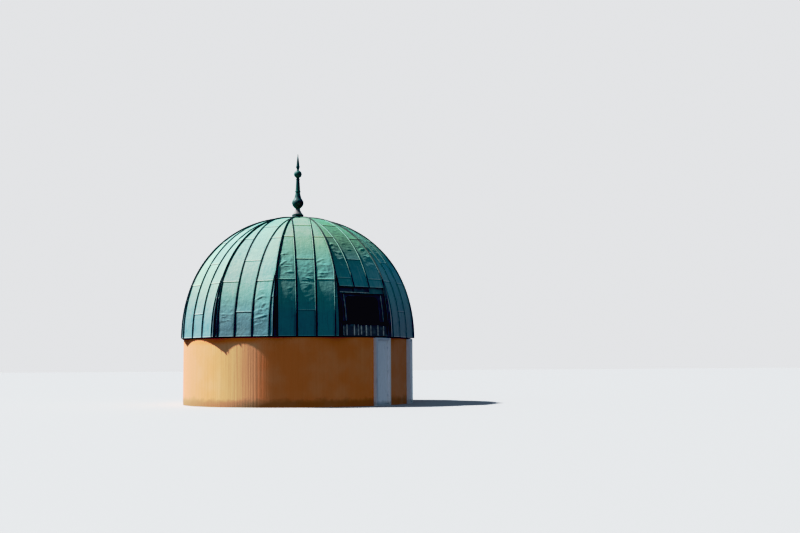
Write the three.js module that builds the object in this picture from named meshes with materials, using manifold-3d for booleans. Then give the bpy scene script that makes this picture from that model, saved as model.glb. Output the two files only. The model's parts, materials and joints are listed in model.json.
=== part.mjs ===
// An observatory dome: a copper-clad shell of twelve flat-across, curved-up gores with an open
// viewing hatch and a finial. It turns on a round rendered drum that has two narrow doors in
// projecting white casings. Millimetres, +Z up, origin on the ground under the dome's axis.
// A turn is an angle about Z counted from the front, -Y, towards +X.
import * as THREE from "three";
import { mergeVertices } from "three/addons/utils/BufferGeometryUtils.js";
import Module from "manifold-3d";

const wasm = await Module();
wasm.setup();

// Driving dimensions
const GAP = 0.3; // between pieces that touch
const DRUM_RADIUS = 3850;
const WALL_THICKNESS = 280;
const WALL_HEIGHT = 2170;
const WALL_SEGMENTS = 8; // round the long way from door to door
const PLATE_HEIGHT = 70; // timber wall plate that the dome turns on
const PLATE_SET_BACK = 20; // from the wall's outer face
const PLATE_SEGMENTS = 4;
const RUNNING_GAP = 0.5;
const FLOOR_THICKNESS = 50;
const FACET_TURN = 5; // the drum's round faces, in degrees

const EAVE_HEIGHT = 2200;
const SIDES = 12;
const EAVE_APOTHEM = 3868; // axis to the middle of a side, at the eave
const DOME_RISE = 4167;
const DOME_POWER = 2.1; // a circle is 2: the dome is a little fuller
const DOME_STEPS = 20;
const SHELL_THICKNESS = 100;
const SHELL_FOOT = 50; // the shell starts this far above the eave, behind the skirt
const SKIRT_THICKNESS = 20;
const APEX_HOLE = 110; // apothem of the hole that the finial plugs
const FRONT_GORE_TURN = 3.9;
const SEAM_HEIGHT = 48; // standing seam along each hip
const SEAM_THICKNESS = 22;
const SEAM_ROOT = -10; // the seam's foot, inside the shell
const SEAM_TOP = 250; // apothem where the seams end, at the finial's flange
const RING_WIDTH = 200;
const RING_HEIGHT = 150;
const RING_CLEARANCE = 3; // to the shell's faceted inner face

const PAN_ZONE_HALF = 915; // half of three pans' width; the hatch is as wide
const HATCH_GORE = 1; // counted from the front gore towards +X
const HATCH_SILL = 400; // heights above the eave
const HATCH_HEAD = 1390;
const HATCH_HEADER_TOP = 1585;
const HATCH_JAMB_WIDTH = 115;
const HATCH_JAMB_DEPTH = 260;
const HATCH_JAMB_SET_BACK = 25;
const SILL_THICKNESS = 45;
const SILL_NOSE = 30;
const HEADER_RECESS = 35; // the header band and the apron lie behind the pans' face
const APRON_RECESS = 12;

const DOOR_TURNS = { left: 44.3, right: 77 };
const CASING_WIDTH = 705;
const CASING_FACE = 3950; // axis to the casing's face
const CASING_BACK = 3600;
const CASING_BOARD = 75; // width of jamb and head
const THRESHOLD = 50;
const LEAF_THICKNESS = 45;
const LEAF_SET_BACK = 70;
const LEAF_CLEARANCE = 5;
const PIN_OFFSET = 12; // hinge pin from the leaf's face and edge
const KNUCKLE_RADIUS = 11;
const KNUCKLE_LENGTH = 60;
const KNUCKLE_SIDES = 10;
const STRAP_HALF = 6; // half thickness of the strap that carries a knuckle
const STRAP_HOLD = 5; // how far the strap runs into the casing
const LEAF_STRAP_WIDTH = 10;
const LEAF_STRAP_HOLD = 2;
const HINGE_HEIGHTS = [300, 1060, 1820];
const CUT_MARGIN = 100; // how far a cutter runs past what it cuts

const FLANGE_RADIUS = 200; // finial, with heights above the eave
const FLANGE_LOW = 4283; // above the dome's curve, on a low tapered plinth
const FLANGE_HIGH = 4320;
const PLINTH_FOOT_RADIUS = 225;
const PLINTH_TOP_RADIUS = 184;
const PLUG_DEPTH = 90;
const NECK_RADIUS = 74;
const NECK_HEIGHT = 4512;
const BULB_TOP_RADIUS = 78;
const COLLAR_HEIGHT = 5112;
const COLLAR_RADIUS = 96;
const COLLAR_THICKNESS = 36;
const BALL_RADIUS = 138;
const BALL_LOW = 5618;
const BALL_MIDDLE = 5746;
const BALL_HIGH = 5878;
const SPIKE_TIP = 6453;
const FINIAL_SIDES = 20;

const COPPER = { color: 0x5fa08c, roughness: 0.6, metalness: 0.2 };
const DARK_COPPER = { color: 0x1c3a3c, roughness: 0.6, metalness: 0.2 };
const RENDER = { color: 0xc98a58, roughness: 0.95, metalness: 0 };
const WHITE_PAINT = { color: 0xd9dde0, roughness: 0.55, metalness: 0 };
const TIMBER = { color: 0x4a3626, roughness: 0.85, metalness: 0 };
const CONCRETE = { color: 0x8d8a84, roughness: 0.95, metalness: 0 };

const MERGE_DISTANCE = 1e-3;
const HALF_SIDE = Math.PI / SIDES;
const GORE_TURN = 360 / SIDES;
const WALL_INNER = DRUM_RADIUS - WALL_THICKNESS;

const dome = new THREE.Group();

// Adds a piece, built at the front, to the dome at its turn about the axis.
function place(name, geometry, material, turn = 0) {
  const mesh = new THREE.Mesh(geometry, new THREE.MeshStandardMaterial(material));
  mesh.name = name;
  mesh.rotation.z = THREE.MathUtils.degToRad(turn);
  dome.add(mesh);
}

function toSolid(geometry) {
  const bare = geometry.clone();
  bare.deleteAttribute("normal");
  bare.deleteAttribute("uv");
  const merged = mergeVertices(bare, MERGE_DISTANCE);
  const vertProperties = merged.attributes.position.array;
  const triVerts = new Uint32Array(merged.index.array);
  return new wasm.Manifold(new wasm.Mesh({ numProp: 3, vertProperties, triVerts }));
}

function toGeometry(solid) {
  const mesh = solid.getMesh();
  const geometry = new THREE.BufferGeometry();
  geometry.setAttribute("position", new THREE.BufferAttribute(mesh.vertProperties, 3));
  geometry.setIndex(new THREE.BufferAttribute(mesh.triVerts, 1));
  return geometry;
}

function union(geometries) {
  return toGeometry(geometries.map(toSolid).reduce((sum, solid) => sum.add(solid)));
}

function subtract(geometry, cutter) {
  return toGeometry(toSolid(geometry).subtract(toSolid(cutter)));
}

// A box between two corners.
function box(low, high) {
  const size = high.map((value, axis) => value - low[axis]);
  const geometry = new THREE.BoxGeometry(...size);
  return geometry.translate(...low.map((value, axis) => value + size[axis] / 2));
}

// Dome curve: apothem and height above the eave at a sweep from the eave, 0, to the top, 1.
// An offset moves the curve in or out.
function domePoint(sweep, offset) {
  const angle = (sweep * Math.PI) / 2;
  const power = 2 / DOME_POWER;
  const apothem = (EAVE_APOTHEM + offset) * Math.cos(angle) ** power;
  const height = (DOME_RISE + offset) * Math.sin(angle) ** power;
  return new THREE.Vector2(apothem, EAVE_HEIGHT + height);
}

function sweepAtHeight(height, offset) {
  const sine = (height / (DOME_RISE + offset)) ** (DOME_POWER / 2);
  return Math.asin(sine) / (Math.PI / 2);
}

function sweepAtApothem(apothem, offset) {
  const cosine = (apothem / (EAVE_APOTHEM + offset)) ** (DOME_POWER / 2);
  return Math.acos(cosine) / (Math.PI / 2);
}

function curvePoints(from, to, offset) {
  const steps = Math.max(2, Math.ceil(Math.abs(to - from) * DOME_STEPS));
  const points = [];
  for (let step = 0; step <= steps; step += 1) {
    points.push(domePoint(THREE.MathUtils.lerp(from, to, step / steps), offset));
  }
  return points;
}

// Extrudes a profile of apothem and height across one side of the dome. The two functions give
// the left and right edges of the piece at an apothem.
function acrossSide(profile, leftEdge, rightEdge) {
  const geometry = new THREE.ExtrudeGeometry(new THREE.Shape(profile), {
    depth: 1,
    bevelEnabled: false,
  });
  const position = geometry.attributes.position;
  for (let i = 0; i < position.count; i += 1) {
    const apothem = position.getX(i);
    const height = position.getY(i);
    const across = position.getZ(i) > 0.5 ? leftEdge(apothem) : rightEdge(apothem);
    position.setXYZ(i, across, -apothem, height);
  }
  return geometry;
}

const hipRight = (apothem) => apothem * Math.tan(HALF_SIDE) - GAP / 2;
const hipLeft = (apothem) => -hipRight(apothem);

// The sweep at a height above the eave or, where there is none, at the apothem of a hole.
function sweepTo(high, holeApothem, offset) {
  return high === null ? sweepAtApothem(holeApothem, offset) : sweepAtHeight(high, offset);
}

// Profile of the shell between two heights above the eave, or up to the apex where the second
// is null. The outset moves its outer face from the pans' face.
function shellProfile(low, high, outset = 0, thickness = SHELL_THICKNESS) {
  const inset = outset - thickness;
  const outer = curvePoints(sweepAtHeight(low, outset), sweepTo(high, APEX_HOLE, outset), outset);
  const innerLow = Math.max(low, SHELL_FOOT);
  const innerTop = sweepTo(high, APEX_HOLE, inset);
  const inner = curvePoints(innerTop, sweepAtHeight(innerLow, inset), inset);
  if (low < SHELL_FOOT) {
    const skirt = EAVE_APOTHEM + outset - SKIRT_THICKNESS;
    inner.push(new THREE.Vector2(skirt, EAVE_HEIGHT + SHELL_FOOT));
    inner.push(new THREE.Vector2(skirt, EAVE_HEIGHT + low));
  }
  return [...outer, ...inner];
}

// The standing seam on a piece's left hip, between two heights above the eave.
function hipSeam(low, high) {
  const outerTop = sweepTo(high, SEAM_TOP, SEAM_HEIGHT);
  const innerTop = sweepTo(high, SEAM_TOP, SEAM_ROOT);
  const outer = curvePoints(sweepAtHeight(low, SEAM_HEIGHT), outerTop, SEAM_HEIGHT);
  const inner = curvePoints(innerTop, sweepAtHeight(low, SEAM_ROOT), SEAM_ROOT);
  return acrossSide([...outer, ...inner], hipLeft, (apothem) => hipLeft(apothem) + SEAM_THICKNESS);
}

function goreTurn(index) {
  return FRONT_GORE_TURN + index * GORE_TURN;
}

function addGores() {
  for (let index = 0; index < SIDES; index += 1) {
    if (index === HATCH_GORE) continue;
    const panel = acrossSide(shellProfile(0, null), hipLeft, hipRight);
    const number = String(index + 1).padStart(2, "0");
    place(`gore_${number}`, union([panel, hipSeam(0, null)]), COPPER, goreTurn(index));
  }
}

// The hatch takes the pans' width of one gore, from the sill to a header band.
function addHatchGore() {
  const turn = goreTurn(HATCH_GORE);
  const zoneLeft = () => -PAN_ZONE_HALF + GAP / 2;
  const zoneRight = () => PAN_ZONE_HALF - GAP / 2;
  const stripInner = () => PAN_ZONE_HALF + GAP / 2;
  const stripTop = HATCH_HEADER_TOP - GAP;

  const upper = acrossSide(shellProfile(HATCH_HEADER_TOP, null), hipLeft, hipRight);
  place("gore_over_hatch", union([upper, hipSeam(HATCH_HEADER_TOP, null)]), COPPER, turn);

  const strip = shellProfile(0, stripTop);
  const leftStrip = acrossSide(strip, hipLeft, () => -stripInner());
  place("hatch_strip_left", union([leftStrip, hipSeam(0, stripTop)]), COPPER, turn);
  place("hatch_strip_right", acrossSide(strip, stripInner, hipRight), COPPER, turn);

  const header = shellProfile(HATCH_HEAD, stripTop, -HEADER_RECESS);
  place("hatch_header", acrossSide(header, zoneLeft, zoneRight), DARK_COPPER, turn);
  const apron = shellProfile(0, HATCH_SILL, -APRON_RECESS, SHELL_THICKNESS - APRON_RECESS);
  place("hatch_apron", acrossSide(apron, zoneLeft, zoneRight), DARK_COPPER, turn);
  addHatchFrame(turn, zoneLeft, zoneRight);
}

function addHatchFrame(turn, zoneLeft, zoneRight) {
  const sillBack = EAVE_APOTHEM - HATCH_JAMB_SET_BACK - HATCH_JAMB_DEPTH;
  const sillFace = domePoint(sweepAtHeight(HATCH_SILL, 0), 0).x + SILL_NOSE;
  const sillLow = EAVE_HEIGHT + HATCH_SILL + GAP;
  const sillHigh = sillLow + SILL_THICKNESS;
  const sill = box([zoneLeft(), -sillFace, sillLow], [zoneRight(), -sillBack, sillHigh]);
  place("hatch_sill", sill, TIMBER, turn);

  const jambLow = HATCH_SILL + SILL_THICKNESS + 2 * GAP;
  const jamb = shellProfile(jambLow, HATCH_HEAD - GAP, -HATCH_JAMB_SET_BACK, HATCH_JAMB_DEPTH);
  const innerEdge = PAN_ZONE_HALF - HATCH_JAMB_WIDTH;
  place("hatch_jamb_left", acrossSide(jamb, zoneLeft, () => -innerEdge), DARK_COPPER, turn);
  place("hatch_jamb_right", acrossSide(jamb, () => innerEdge, zoneRight), DARK_COPPER, turn);
}

// Twelve-sided timber ring inside the shell's foot, which runs on the wall plate.
function addSoleRing() {
  const low = WALL_HEIGHT + PLATE_HEIGHT + RUNNING_GAP;
  const top = low + RING_HEIGHT;
  const innerShell = domePoint(sweepAtHeight(top - EAVE_HEIGHT, -SHELL_THICKNESS), -SHELL_THICKNESS);
  const outerApothem = innerShell.x - RING_CLEARANCE;
  const corner = (apothem) => apothem / Math.cos(HALF_SIDE);
  const outline = new THREE.Shape(ringPoints(corner(outerApothem), SIDES, HALF_SIDE));
  outline.holes.push(new THREE.Path(ringPoints(corner(outerApothem - RING_WIDTH), SIDES, HALF_SIDE)));
  const geometry = new THREE.ExtrudeGeometry(outline, { depth: RING_HEIGHT, bevelEnabled: false });
  place("sole_ring", geometry.translate(0, 0, low), TIMBER, FRONT_GORE_TURN);
}

function ringPoints(radius, count, start = 0) {
  const points = [];
  for (let i = 0; i < count; i += 1) {
    const angle = start + (i / count) * 2 * Math.PI;
    points.push(new THREE.Vector2(radius * Math.sin(angle), -radius * Math.cos(angle)));
  }
  return points;
}

// Part of a ring between two turns, with its faces set out in equal facets.
function ringSector(inner, outer, fromTurn, toTurn, low, high) {
  const trim = THREE.MathUtils.radToDeg(GAP / 2 / inner);
  const from = fromTurn + trim;
  const to = toTurn - trim;
  const facets = Math.ceil((to - from) / FACET_TURN);
  const outside = [];
  const inside = [];
  for (let i = 0; i <= facets; i += 1) {
    const angle = THREE.MathUtils.degToRad(from + ((to - from) * i) / facets);
    outside.push(new THREE.Vector2(outer * Math.sin(angle), -outer * Math.cos(angle)));
    inside.unshift(new THREE.Vector2(inner * Math.sin(angle), -inner * Math.cos(angle)));
  }
  const shape = new THREE.Shape([...outside, ...inside]);
  const geometry = new THREE.ExtrudeGeometry(shape, { depth: high - low, bevelEnabled: false });
  return geometry.translate(0, 0, low);
}

function doorwayCutter(turn) {
  const half = CASING_WIDTH / 2 + GAP;
  const back = -WALL_INNER + CUT_MARGIN;
  const cutter = box([-half, -CASING_FACE, -CUT_MARGIN], [half, back, WALL_HEIGHT + CUT_MARGIN]);
  return cutter.rotateZ(THREE.MathUtils.degToRad(turn));
}

// The wall is split at the doors' middles, and the long way round into equal segments.
function addDrumWall() {
  const { left, right } = DOOR_TURNS;
  const top = WALL_HEIGHT - GAP;
  const span = (360 - (right - left)) / WALL_SEGMENTS;
  const turns = [left];
  for (let i = 0; i <= WALL_SEGMENTS; i += 1) turns.push(right + i * span);
  for (let i = 0; i + 1 < turns.length; i += 1) {
    let wall = ringSector(WALL_INNER, DRUM_RADIUS, turns[i], turns[i + 1], 0, top);
    if (i < 2) wall = subtract(wall, doorwayCutter(right));
    if (i === 0 || i === WALL_SEGMENTS) wall = subtract(wall, doorwayCutter(left));
    place(i === 0 ? "wall_between_doors" : `wall_segment_${i}`, wall, RENDER);
  }
}

// The timber plate on the wall is a ring of curved lengths, cut between the doors and beside them.
function addWallPlate() {
  const first = (DOOR_TURNS.left + DOOR_TURNS.right) / 2;
  const span = 360 / PLATE_SEGMENTS;
  const top = WALL_HEIGHT + PLATE_HEIGHT;
  const outer = DRUM_RADIUS - PLATE_SET_BACK;
  for (let i = 0; i < PLATE_SEGMENTS; i += 1) {
    const from = first + i * span;
    const length = ringSector(WALL_INNER, outer, from, from + span, WALL_HEIGHT, top);
    place(`wall_plate_${i + 1}`, length, TIMBER);
  }
}

function addFloor() {
  const facets = 360 / FACET_TURN;
  const floorRadius = WALL_INNER * Math.cos(THREE.MathUtils.degToRad(FACET_TURN / 2)) - GAP;
  const slab = new THREE.Shape(ringPoints(floorRadius, facets));
  const slabBody = new THREE.ExtrudeGeometry(slab, { depth: FLOOR_THICKNESS, bevelEnabled: false });
  place("floor", slabBody, CONCRETE);
}

// One knuckle of a hinge: a round barrel on the pin and the strap that carries it.
function knuckle(pinX, low, high, strapX, strapFace) {
  const pinY = -(CASING_FACE - LEAF_SET_BACK + PIN_OFFSET);
  const length = high - low;
  const barrel = new THREE.CylinderGeometry(KNUCKLE_RADIUS, KNUCKLE_RADIUS, length, KNUCKLE_SIDES);
  barrel.rotateX(Math.PI / 2).translate(pinX, pinY, (low + high) / 2);
  const strapLow = Math.min(pinX, strapX);
  const strapHigh = Math.max(pinX, strapX);
  const strap = box([strapLow, pinY - STRAP_HALF, low], [strapHigh, strapFace, high]);
  return union([barrel, strap]);
}

// A white casing round the doorway and its boarded leaf, hung on the side given: -1 left, 1 right.
function addDoor(name, turn, hingeSide) {
  const half = CASING_WIDTH / 2;
  const opening = half - CASING_BOARD;
  const headLow = WALL_HEIGHT - GAP - CASING_BOARD;
  const leafFace = -(CASING_FACE - LEAF_SET_BACK);
  const leafHalf = opening - LEAF_CLEARANCE;
  const leafLow = THRESHOLD + LEAF_CLEARANCE;
  const leafHigh = headLow - LEAF_CLEARANCE;
  const pinX = hingeSide * (leafHalf - PIN_OFFSET);
  const pinY = leafFace - PIN_OFFSET;

  const block = box([-half, -CASING_FACE, 0], [half, -CASING_BACK, WALL_HEIGHT - GAP]);
  const holeFace = -CASING_FACE - CUT_MARGIN;
  const holeBack = -CASING_BACK + CUT_MARGIN;
  const hole = box([-opening, holeFace, THRESHOLD], [opening, holeBack, headLow]);
  const casing = [subtract(block, hole)];
  const leaf = [box([-leafHalf, leafFace, leafLow], [leafHalf, leafFace + LEAF_THICKNESS, leafHigh])];
  const strapX = hingeSide * (opening + STRAP_HOLD);
  const leafStrapX = pinX - hingeSide * LEAF_STRAP_WIDTH;
  for (const height of HINGE_HEIGHTS) {
    const middle = height + KNUCKLE_LENGTH;
    const top = middle + KNUCKLE_LENGTH;
    casing.push(knuckle(pinX, height, middle, strapX, pinY + STRAP_HALF));
    leaf.push(knuckle(pinX, middle + GAP, top, leafStrapX, leafFace + LEAF_STRAP_HOLD));
  }
  place(`casing_${name}`, union(casing), WHITE_PAINT, turn);
  place(`door_${name}`, union(leaf), WHITE_PAINT, turn);
}

// A turned piece from radius and height pairs, which start and end on the axis.
function turned(outline) {
  const points = outline.map(([radius, height]) => new THREE.Vector2(radius, EAVE_HEIGHT + height));
  return new THREE.LatheGeometry(points, FINIAL_SIDES).rotateX(Math.PI / 2);
}

// Points on a smooth curve through radius and height pairs.
function smooth(pairs, count) {
  const curve = new THREE.SplineCurve(pairs.map((pair) => new THREE.Vector2(...pair)));
  return curve.getPoints(count).map((point) => [point.x, point.y]);
}

// A tapered plinth that plugs the hole at the apex, with a flange that sweeps up into a neck.
function addFinialBase() {
  const seat = domePoint(sweepAtApothem(APEX_HOLE, 0), 0).y - EAVE_HEIGHT + GAP;
  const plugLow = seat - PLUG_DEPTH;
  const plugRadius = APEX_HOLE - GAP;
  const plug = [[0, plugLow], [plugRadius, plugLow], [plugRadius, seat]];
  const plinth = [[PLINTH_FOOT_RADIUS, seat], [PLINTH_TOP_RADIUS, FLANGE_LOW]];
  const flange = [[FLANGE_RADIUS, FLANGE_LOW], [FLANGE_RADIUS, FLANGE_HIGH]];
  const flare = smooth([[165, FLANGE_HIGH + 20], [128, 4400], [88, 4470], [NECK_RADIUS, NECK_HEIGHT]], 8);
  const outline = [...plug, ...plinth, ...flange, ...flare, [0, NECK_HEIGHT]];
  place("finial_base", turned(outline), DARK_COPPER);
}

// An onion-shaped bulb on the neck, and the tapered shaft with its collar above it.
function addFinialStem() {
  const bulbLow = NECK_HEIGHT + GAP;
  const belly = [[132, 4580], [186, 4665], [199, 4744], [152, 4850], [104, 4970]];
  const bulb = smooth([[NECK_RADIUS, bulbLow], ...belly, [BULB_TOP_RADIUS, COLLAR_HEIGHT]], 18);
  place("finial_bulb", turned([[0, bulbLow], ...bulb, [0, COLLAR_HEIGHT]]), DARK_COPPER);

  const shaftLow = COLLAR_HEIGHT + GAP;
  const collarHigh = shaftLow + COLLAR_THICKNESS;
  const collar = [[COLLAR_RADIUS, shaftLow], [COLLAR_RADIUS, collarHigh], [80, collarHigh + 24]];
  const taper = [[58, 5550], [50, BALL_LOW], [0, BALL_LOW]];
  place("finial_shaft", turned([[0, shaftLow], ...collar, ...taper]), DARK_COPPER);
}

function addFinialTop() {
  const low = BALL_LOW + GAP;
  const steps = 10;
  const ball = [];
  for (let i = 0; i <= steps; i += 1) {
    const rise = (1 - Math.cos((Math.PI * i) / steps)) / 2;
    const height = low + (BALL_HIGH - low) * rise;
    ball.push([Math.sqrt(BALL_RADIUS ** 2 - (height - BALL_MIDDLE) ** 2), height]);
  }
  place("finial_ball", turned([[0, low], ...ball, [0, BALL_HIGH]]), DARK_COPPER);

  const spikeLow = BALL_HIGH + GAP;
  const spike = [[36, spikeLow], [38, 5912], [58, 5990], [55, 6030], [0, SPIKE_TIP]];
  place("finial_spike", turned([[0, spikeLow], ...spike]), DARK_COPPER);
}

addDrumWall();
addWallPlate();
addFloor();
addDoor("left", DOOR_TURNS.left, 1);
addDoor("right", DOOR_TURNS.right, -1);
addSoleRing();
addGores();
addHatchGore();
addFinialBase();
addFinialStem();
addFinialTop();

export default dome;
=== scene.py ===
"""Dresses the observatory dome: copper sheets and seams, hatch, finial, rendered drum and doors.

Lengths are metres in the part's own frame, +Z up from the ground. A turn is an angle about Z in
degrees, counted from the front, -Y, towards +X. Across and rise are a gore's own directions: along
the level, and up the curve from the eave. A height is above the eave where its name says so.
"""

import json
import logging
import math
from collections.abc import Callable, Iterable, Sequence
from dataclasses import dataclass, replace
from enum import Enum

import bmesh
import bpy
import numpy as np
from mathutils import Euler, Matrix, Vector

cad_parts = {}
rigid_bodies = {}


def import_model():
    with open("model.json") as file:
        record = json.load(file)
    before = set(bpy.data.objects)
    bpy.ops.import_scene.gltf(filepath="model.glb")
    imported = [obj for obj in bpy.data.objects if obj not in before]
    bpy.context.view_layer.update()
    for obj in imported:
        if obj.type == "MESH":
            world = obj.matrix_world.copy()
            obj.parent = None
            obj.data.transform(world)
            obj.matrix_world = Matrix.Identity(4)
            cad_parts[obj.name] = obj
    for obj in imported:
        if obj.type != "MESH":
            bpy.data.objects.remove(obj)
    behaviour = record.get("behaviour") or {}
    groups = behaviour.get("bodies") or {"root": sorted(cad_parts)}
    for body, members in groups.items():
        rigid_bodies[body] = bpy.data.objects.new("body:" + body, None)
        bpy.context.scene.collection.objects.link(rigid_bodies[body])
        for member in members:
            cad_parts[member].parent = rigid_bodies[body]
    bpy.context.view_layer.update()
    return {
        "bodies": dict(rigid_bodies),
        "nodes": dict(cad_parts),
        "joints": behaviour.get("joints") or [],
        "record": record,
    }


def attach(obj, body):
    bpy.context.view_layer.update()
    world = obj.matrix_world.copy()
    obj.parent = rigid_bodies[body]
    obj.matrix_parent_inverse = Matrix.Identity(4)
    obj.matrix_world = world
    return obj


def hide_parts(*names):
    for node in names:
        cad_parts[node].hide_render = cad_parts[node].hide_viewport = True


FIT = 0.0004  # between pieces that touch
DOOR_TURNS = {"left": 44.3, "right": 77.0}

log = logging.getLogger("observatory")

Array = np.ndarray
Pair = tuple[float, float]
Colour = tuple[float, float, float]
Colours = tuple[Colour, ...]
Material = bpy.types.Material
Node = bpy.types.Node
NodeTree = bpy.types.NodeTree
Objects = dict[str, bpy.types.Object]
Socket = bpy.types.NodeSocket
Source = Socket | float | Sequence[float]
Values = dict[str, Array | float]


class Slot(Enum):
    """Material slots that the part's record names."""

    PATINA = "patina_copper"
    DARK_COPPER = "dark_copper"
    RENDER = "render"
    CONCRETE = "concrete"
    PAINT = "white_paint"
    TIMBER = "timber"


class Body(Enum):
    """Bodies that the pieces ride on."""

    DRUM = "drum"
    DOME = "dome"
    LEFT_DOOR = "left_door"
    RIGHT_DOOR = "right_door"


# Shapes


def soft_step(value: Array, low: float, high: float) -> Array:
    """Eases from 0 at low to 1 at high.

    Args:
        value: The values to ease.
        low: Where the result leaves 0.
        high: Where the result reaches 1.

    Returns:
        The eased values.
    """
    share = np.clip((value - low) / (high - low), 0.0, 1.0)
    return share * share * (3.0 - 2.0 * share)


def lattice_noise(x: Array, y: Array, seed: int) -> Array:
    """Smooth noise over a plane, the same for the same seed.

    Args:
        x: First coordinates, one unit to a bump.
        y: Second coordinates.
        seed: Chooses the pattern.

    Returns:
        Values from -1 to 1.
    """
    x_cell = np.floor(x).astype(np.int64)
    y_cell = np.floor(y).astype(np.int64)
    x_ease = (x - x_cell) ** 2 * (3.0 - 2.0 * (x - x_cell))
    y_ease = (y - y_cell) ** 2 * (3.0 - 2.0 * (y - y_cell))

    def corner(x_step: int, y_step: int) -> Array:
        """Value at one corner of each point's cell.

        Args:
            x_step: 0 for the near corner, 1 for the far one.
            y_step: The same the other way.

        Returns:
            Values from -1 to 1.
        """
        mixed = (x_cell + x_step) * 73856093 ^ (y_cell + y_step) * 19349663 ^ seed * 83492791
        mixed = (mixed ^ (mixed >> 13)) * 1274126177 & 0x7FFFFFFF
        mixed = (mixed ^ (mixed >> 16)) * 668265263 & 0x7FFFFFFF
        return (mixed % 10007) / 5003.0 - 1.0

    lower = corner(0, 0) * (1 - x_ease) + corner(1, 0) * x_ease
    upper = corner(0, 1) * (1 - x_ease) + corner(1, 1) * x_ease
    return lower * (1 - y_ease) + upper * y_ease


def smooth_line(points: Sequence[Pair], steps: int) -> Array:
    """A smooth curve through points of a plane.

    Args:
        points: The points, in order.
        steps: Lengths of curve between two points.

    Returns:
        Points on the curve, one row each.
    """
    given = np.array(points, float)
    ends = np.vstack([2 * given[0] - given[1], given, 2 * given[-1] - given[-2]])
    line = []
    for before, start, end, after in zip(ends, ends[1:], ends[2:], ends[3:]):
        for share in np.arange(steps) / steps:
            line.append(0.5 * (
                2 * start + (end - before) * share
                + (2 * before - 5 * start + 4 * end - after) * share**2
                + (3 * start - before - 3 * end + after) * share**3
            ))
    line.append(given[-1])
    return np.array(line)


def set_out(
    turn: Array | float, across: Array | float, apothem: Array | float, height: Array | float
) -> Array:
    """Points of a gore, wall or door in the part's frame.

    Args:
        turn: Its turn.
        across: Distances from its middle line.
        apothem: Distances from the axis, square to it.
        height: Heights above the ground.

    Returns:
        The points, with x, y and z in the last axis.
    """
    angle = np.radians(turn)
    x = across * np.cos(angle) + apothem * np.sin(angle)
    y = across * np.sin(angle) - apothem * np.cos(angle)
    return np.stack(np.broadcast_arrays(x, y, height), axis=-1)


@dataclass(frozen=True)
class DomeForm:
    """The dome's curve, and the gores that follow it, flat across and curved up.

    Attributes:
        eave_height: Height of the eave above the ground.
        eave_apothem: Axis to the middle of a side, at the eave.
        rise: Height of the apex above the eave.
        power: Fullness of the curve, where 2 is an ellipse.
        sides: Number of gores.
        front_turn: Turn of the front gore's middle.
    """

    eave_height: float = 2.2
    eave_apothem: float = 3.868
    rise: float = 4.167
    power: float = 2.1
    sides: int = 12
    front_turn: float = 3.9

    def turn(self, index: int) -> float:
        """Turn of a gore's middle, counted from the front gore."""
        return self.front_turn + index * 360.0 / self.sides

    def slope(self) -> float:
        """Half a side's length over its apothem."""
        return math.tan(math.pi / self.sides)

    def curve(self, sweep: Array, offset: Array | float = 0.0) -> tuple[Array, Array]:
        """Apothem and height above the ground on the curve.

        Args:
            sweep: Angle from the eave, 0, to the apex, a quarter turn.
            offset: Distance outside the curve.

        Returns:
            The apothems and the heights.
        """
        exponent = 2.0 / self.power
        apothem = (self.eave_apothem + offset) * np.cos(sweep) ** exponent
        height = (self.rise + offset) * np.sin(sweep) ** exponent
        return apothem, self.eave_height + height

    def sweep_at(self, height: float) -> float:
        """Sweep at a height above the eave."""
        return math.asin(min(1.0, (height / self.rise) ** (self.power / 2)))

    def sweep_at_apothem(self, apothem: float) -> float:
        """Sweep at an apothem."""
        return math.acos(min(1.0, (apothem / self.eave_apothem) ** (self.power / 2)))

    def even_sweeps(self, low: float, high: float, step: float) -> tuple[Array, Array]:
        """Sweeps at even distances along the curve.

        Args:
            low: First sweep.
            high: Last sweep.
            step: Greatest distance between two.

        Returns:
            The sweeps, and their distances along the curve from the first.
        """
        fine = np.linspace(low, high, 400)
        apothem, height = self.curve(fine)
        length = np.concatenate([[0.0], np.cumsum(np.hypot(np.diff(apothem), np.diff(height)))])
        count = max(2, math.ceil(length[-1] / step))
        rises = np.linspace(0.0, length[-1], count + 1)
        return np.interp(rises, length, fine), rises


def spaced(ends: Pair, step: float) -> Array:
    """Three or more places from end to end, about a step apart."""
    return np.linspace(*ends, max(3, math.ceil((ends[1] - ends[0]) / step)))


def mirrored(side: Sequence[Pair]) -> Array:
    """A whole outline from its left side, given from the bottom up."""
    return np.array([*side, *((-x, y) for x, y in reversed(side))])


def add_object(name: str, data: bpy.types.ID) -> bpy.types.Object:
    """Adds an object to the scene.

    Args:
        name: Its name.
        data: Its mesh, camera or light.

    Returns:
        The object.
    """
    added = bpy.data.objects.new(name, data)
    bpy.context.scene.collection.objects.link(added)
    return added


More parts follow.
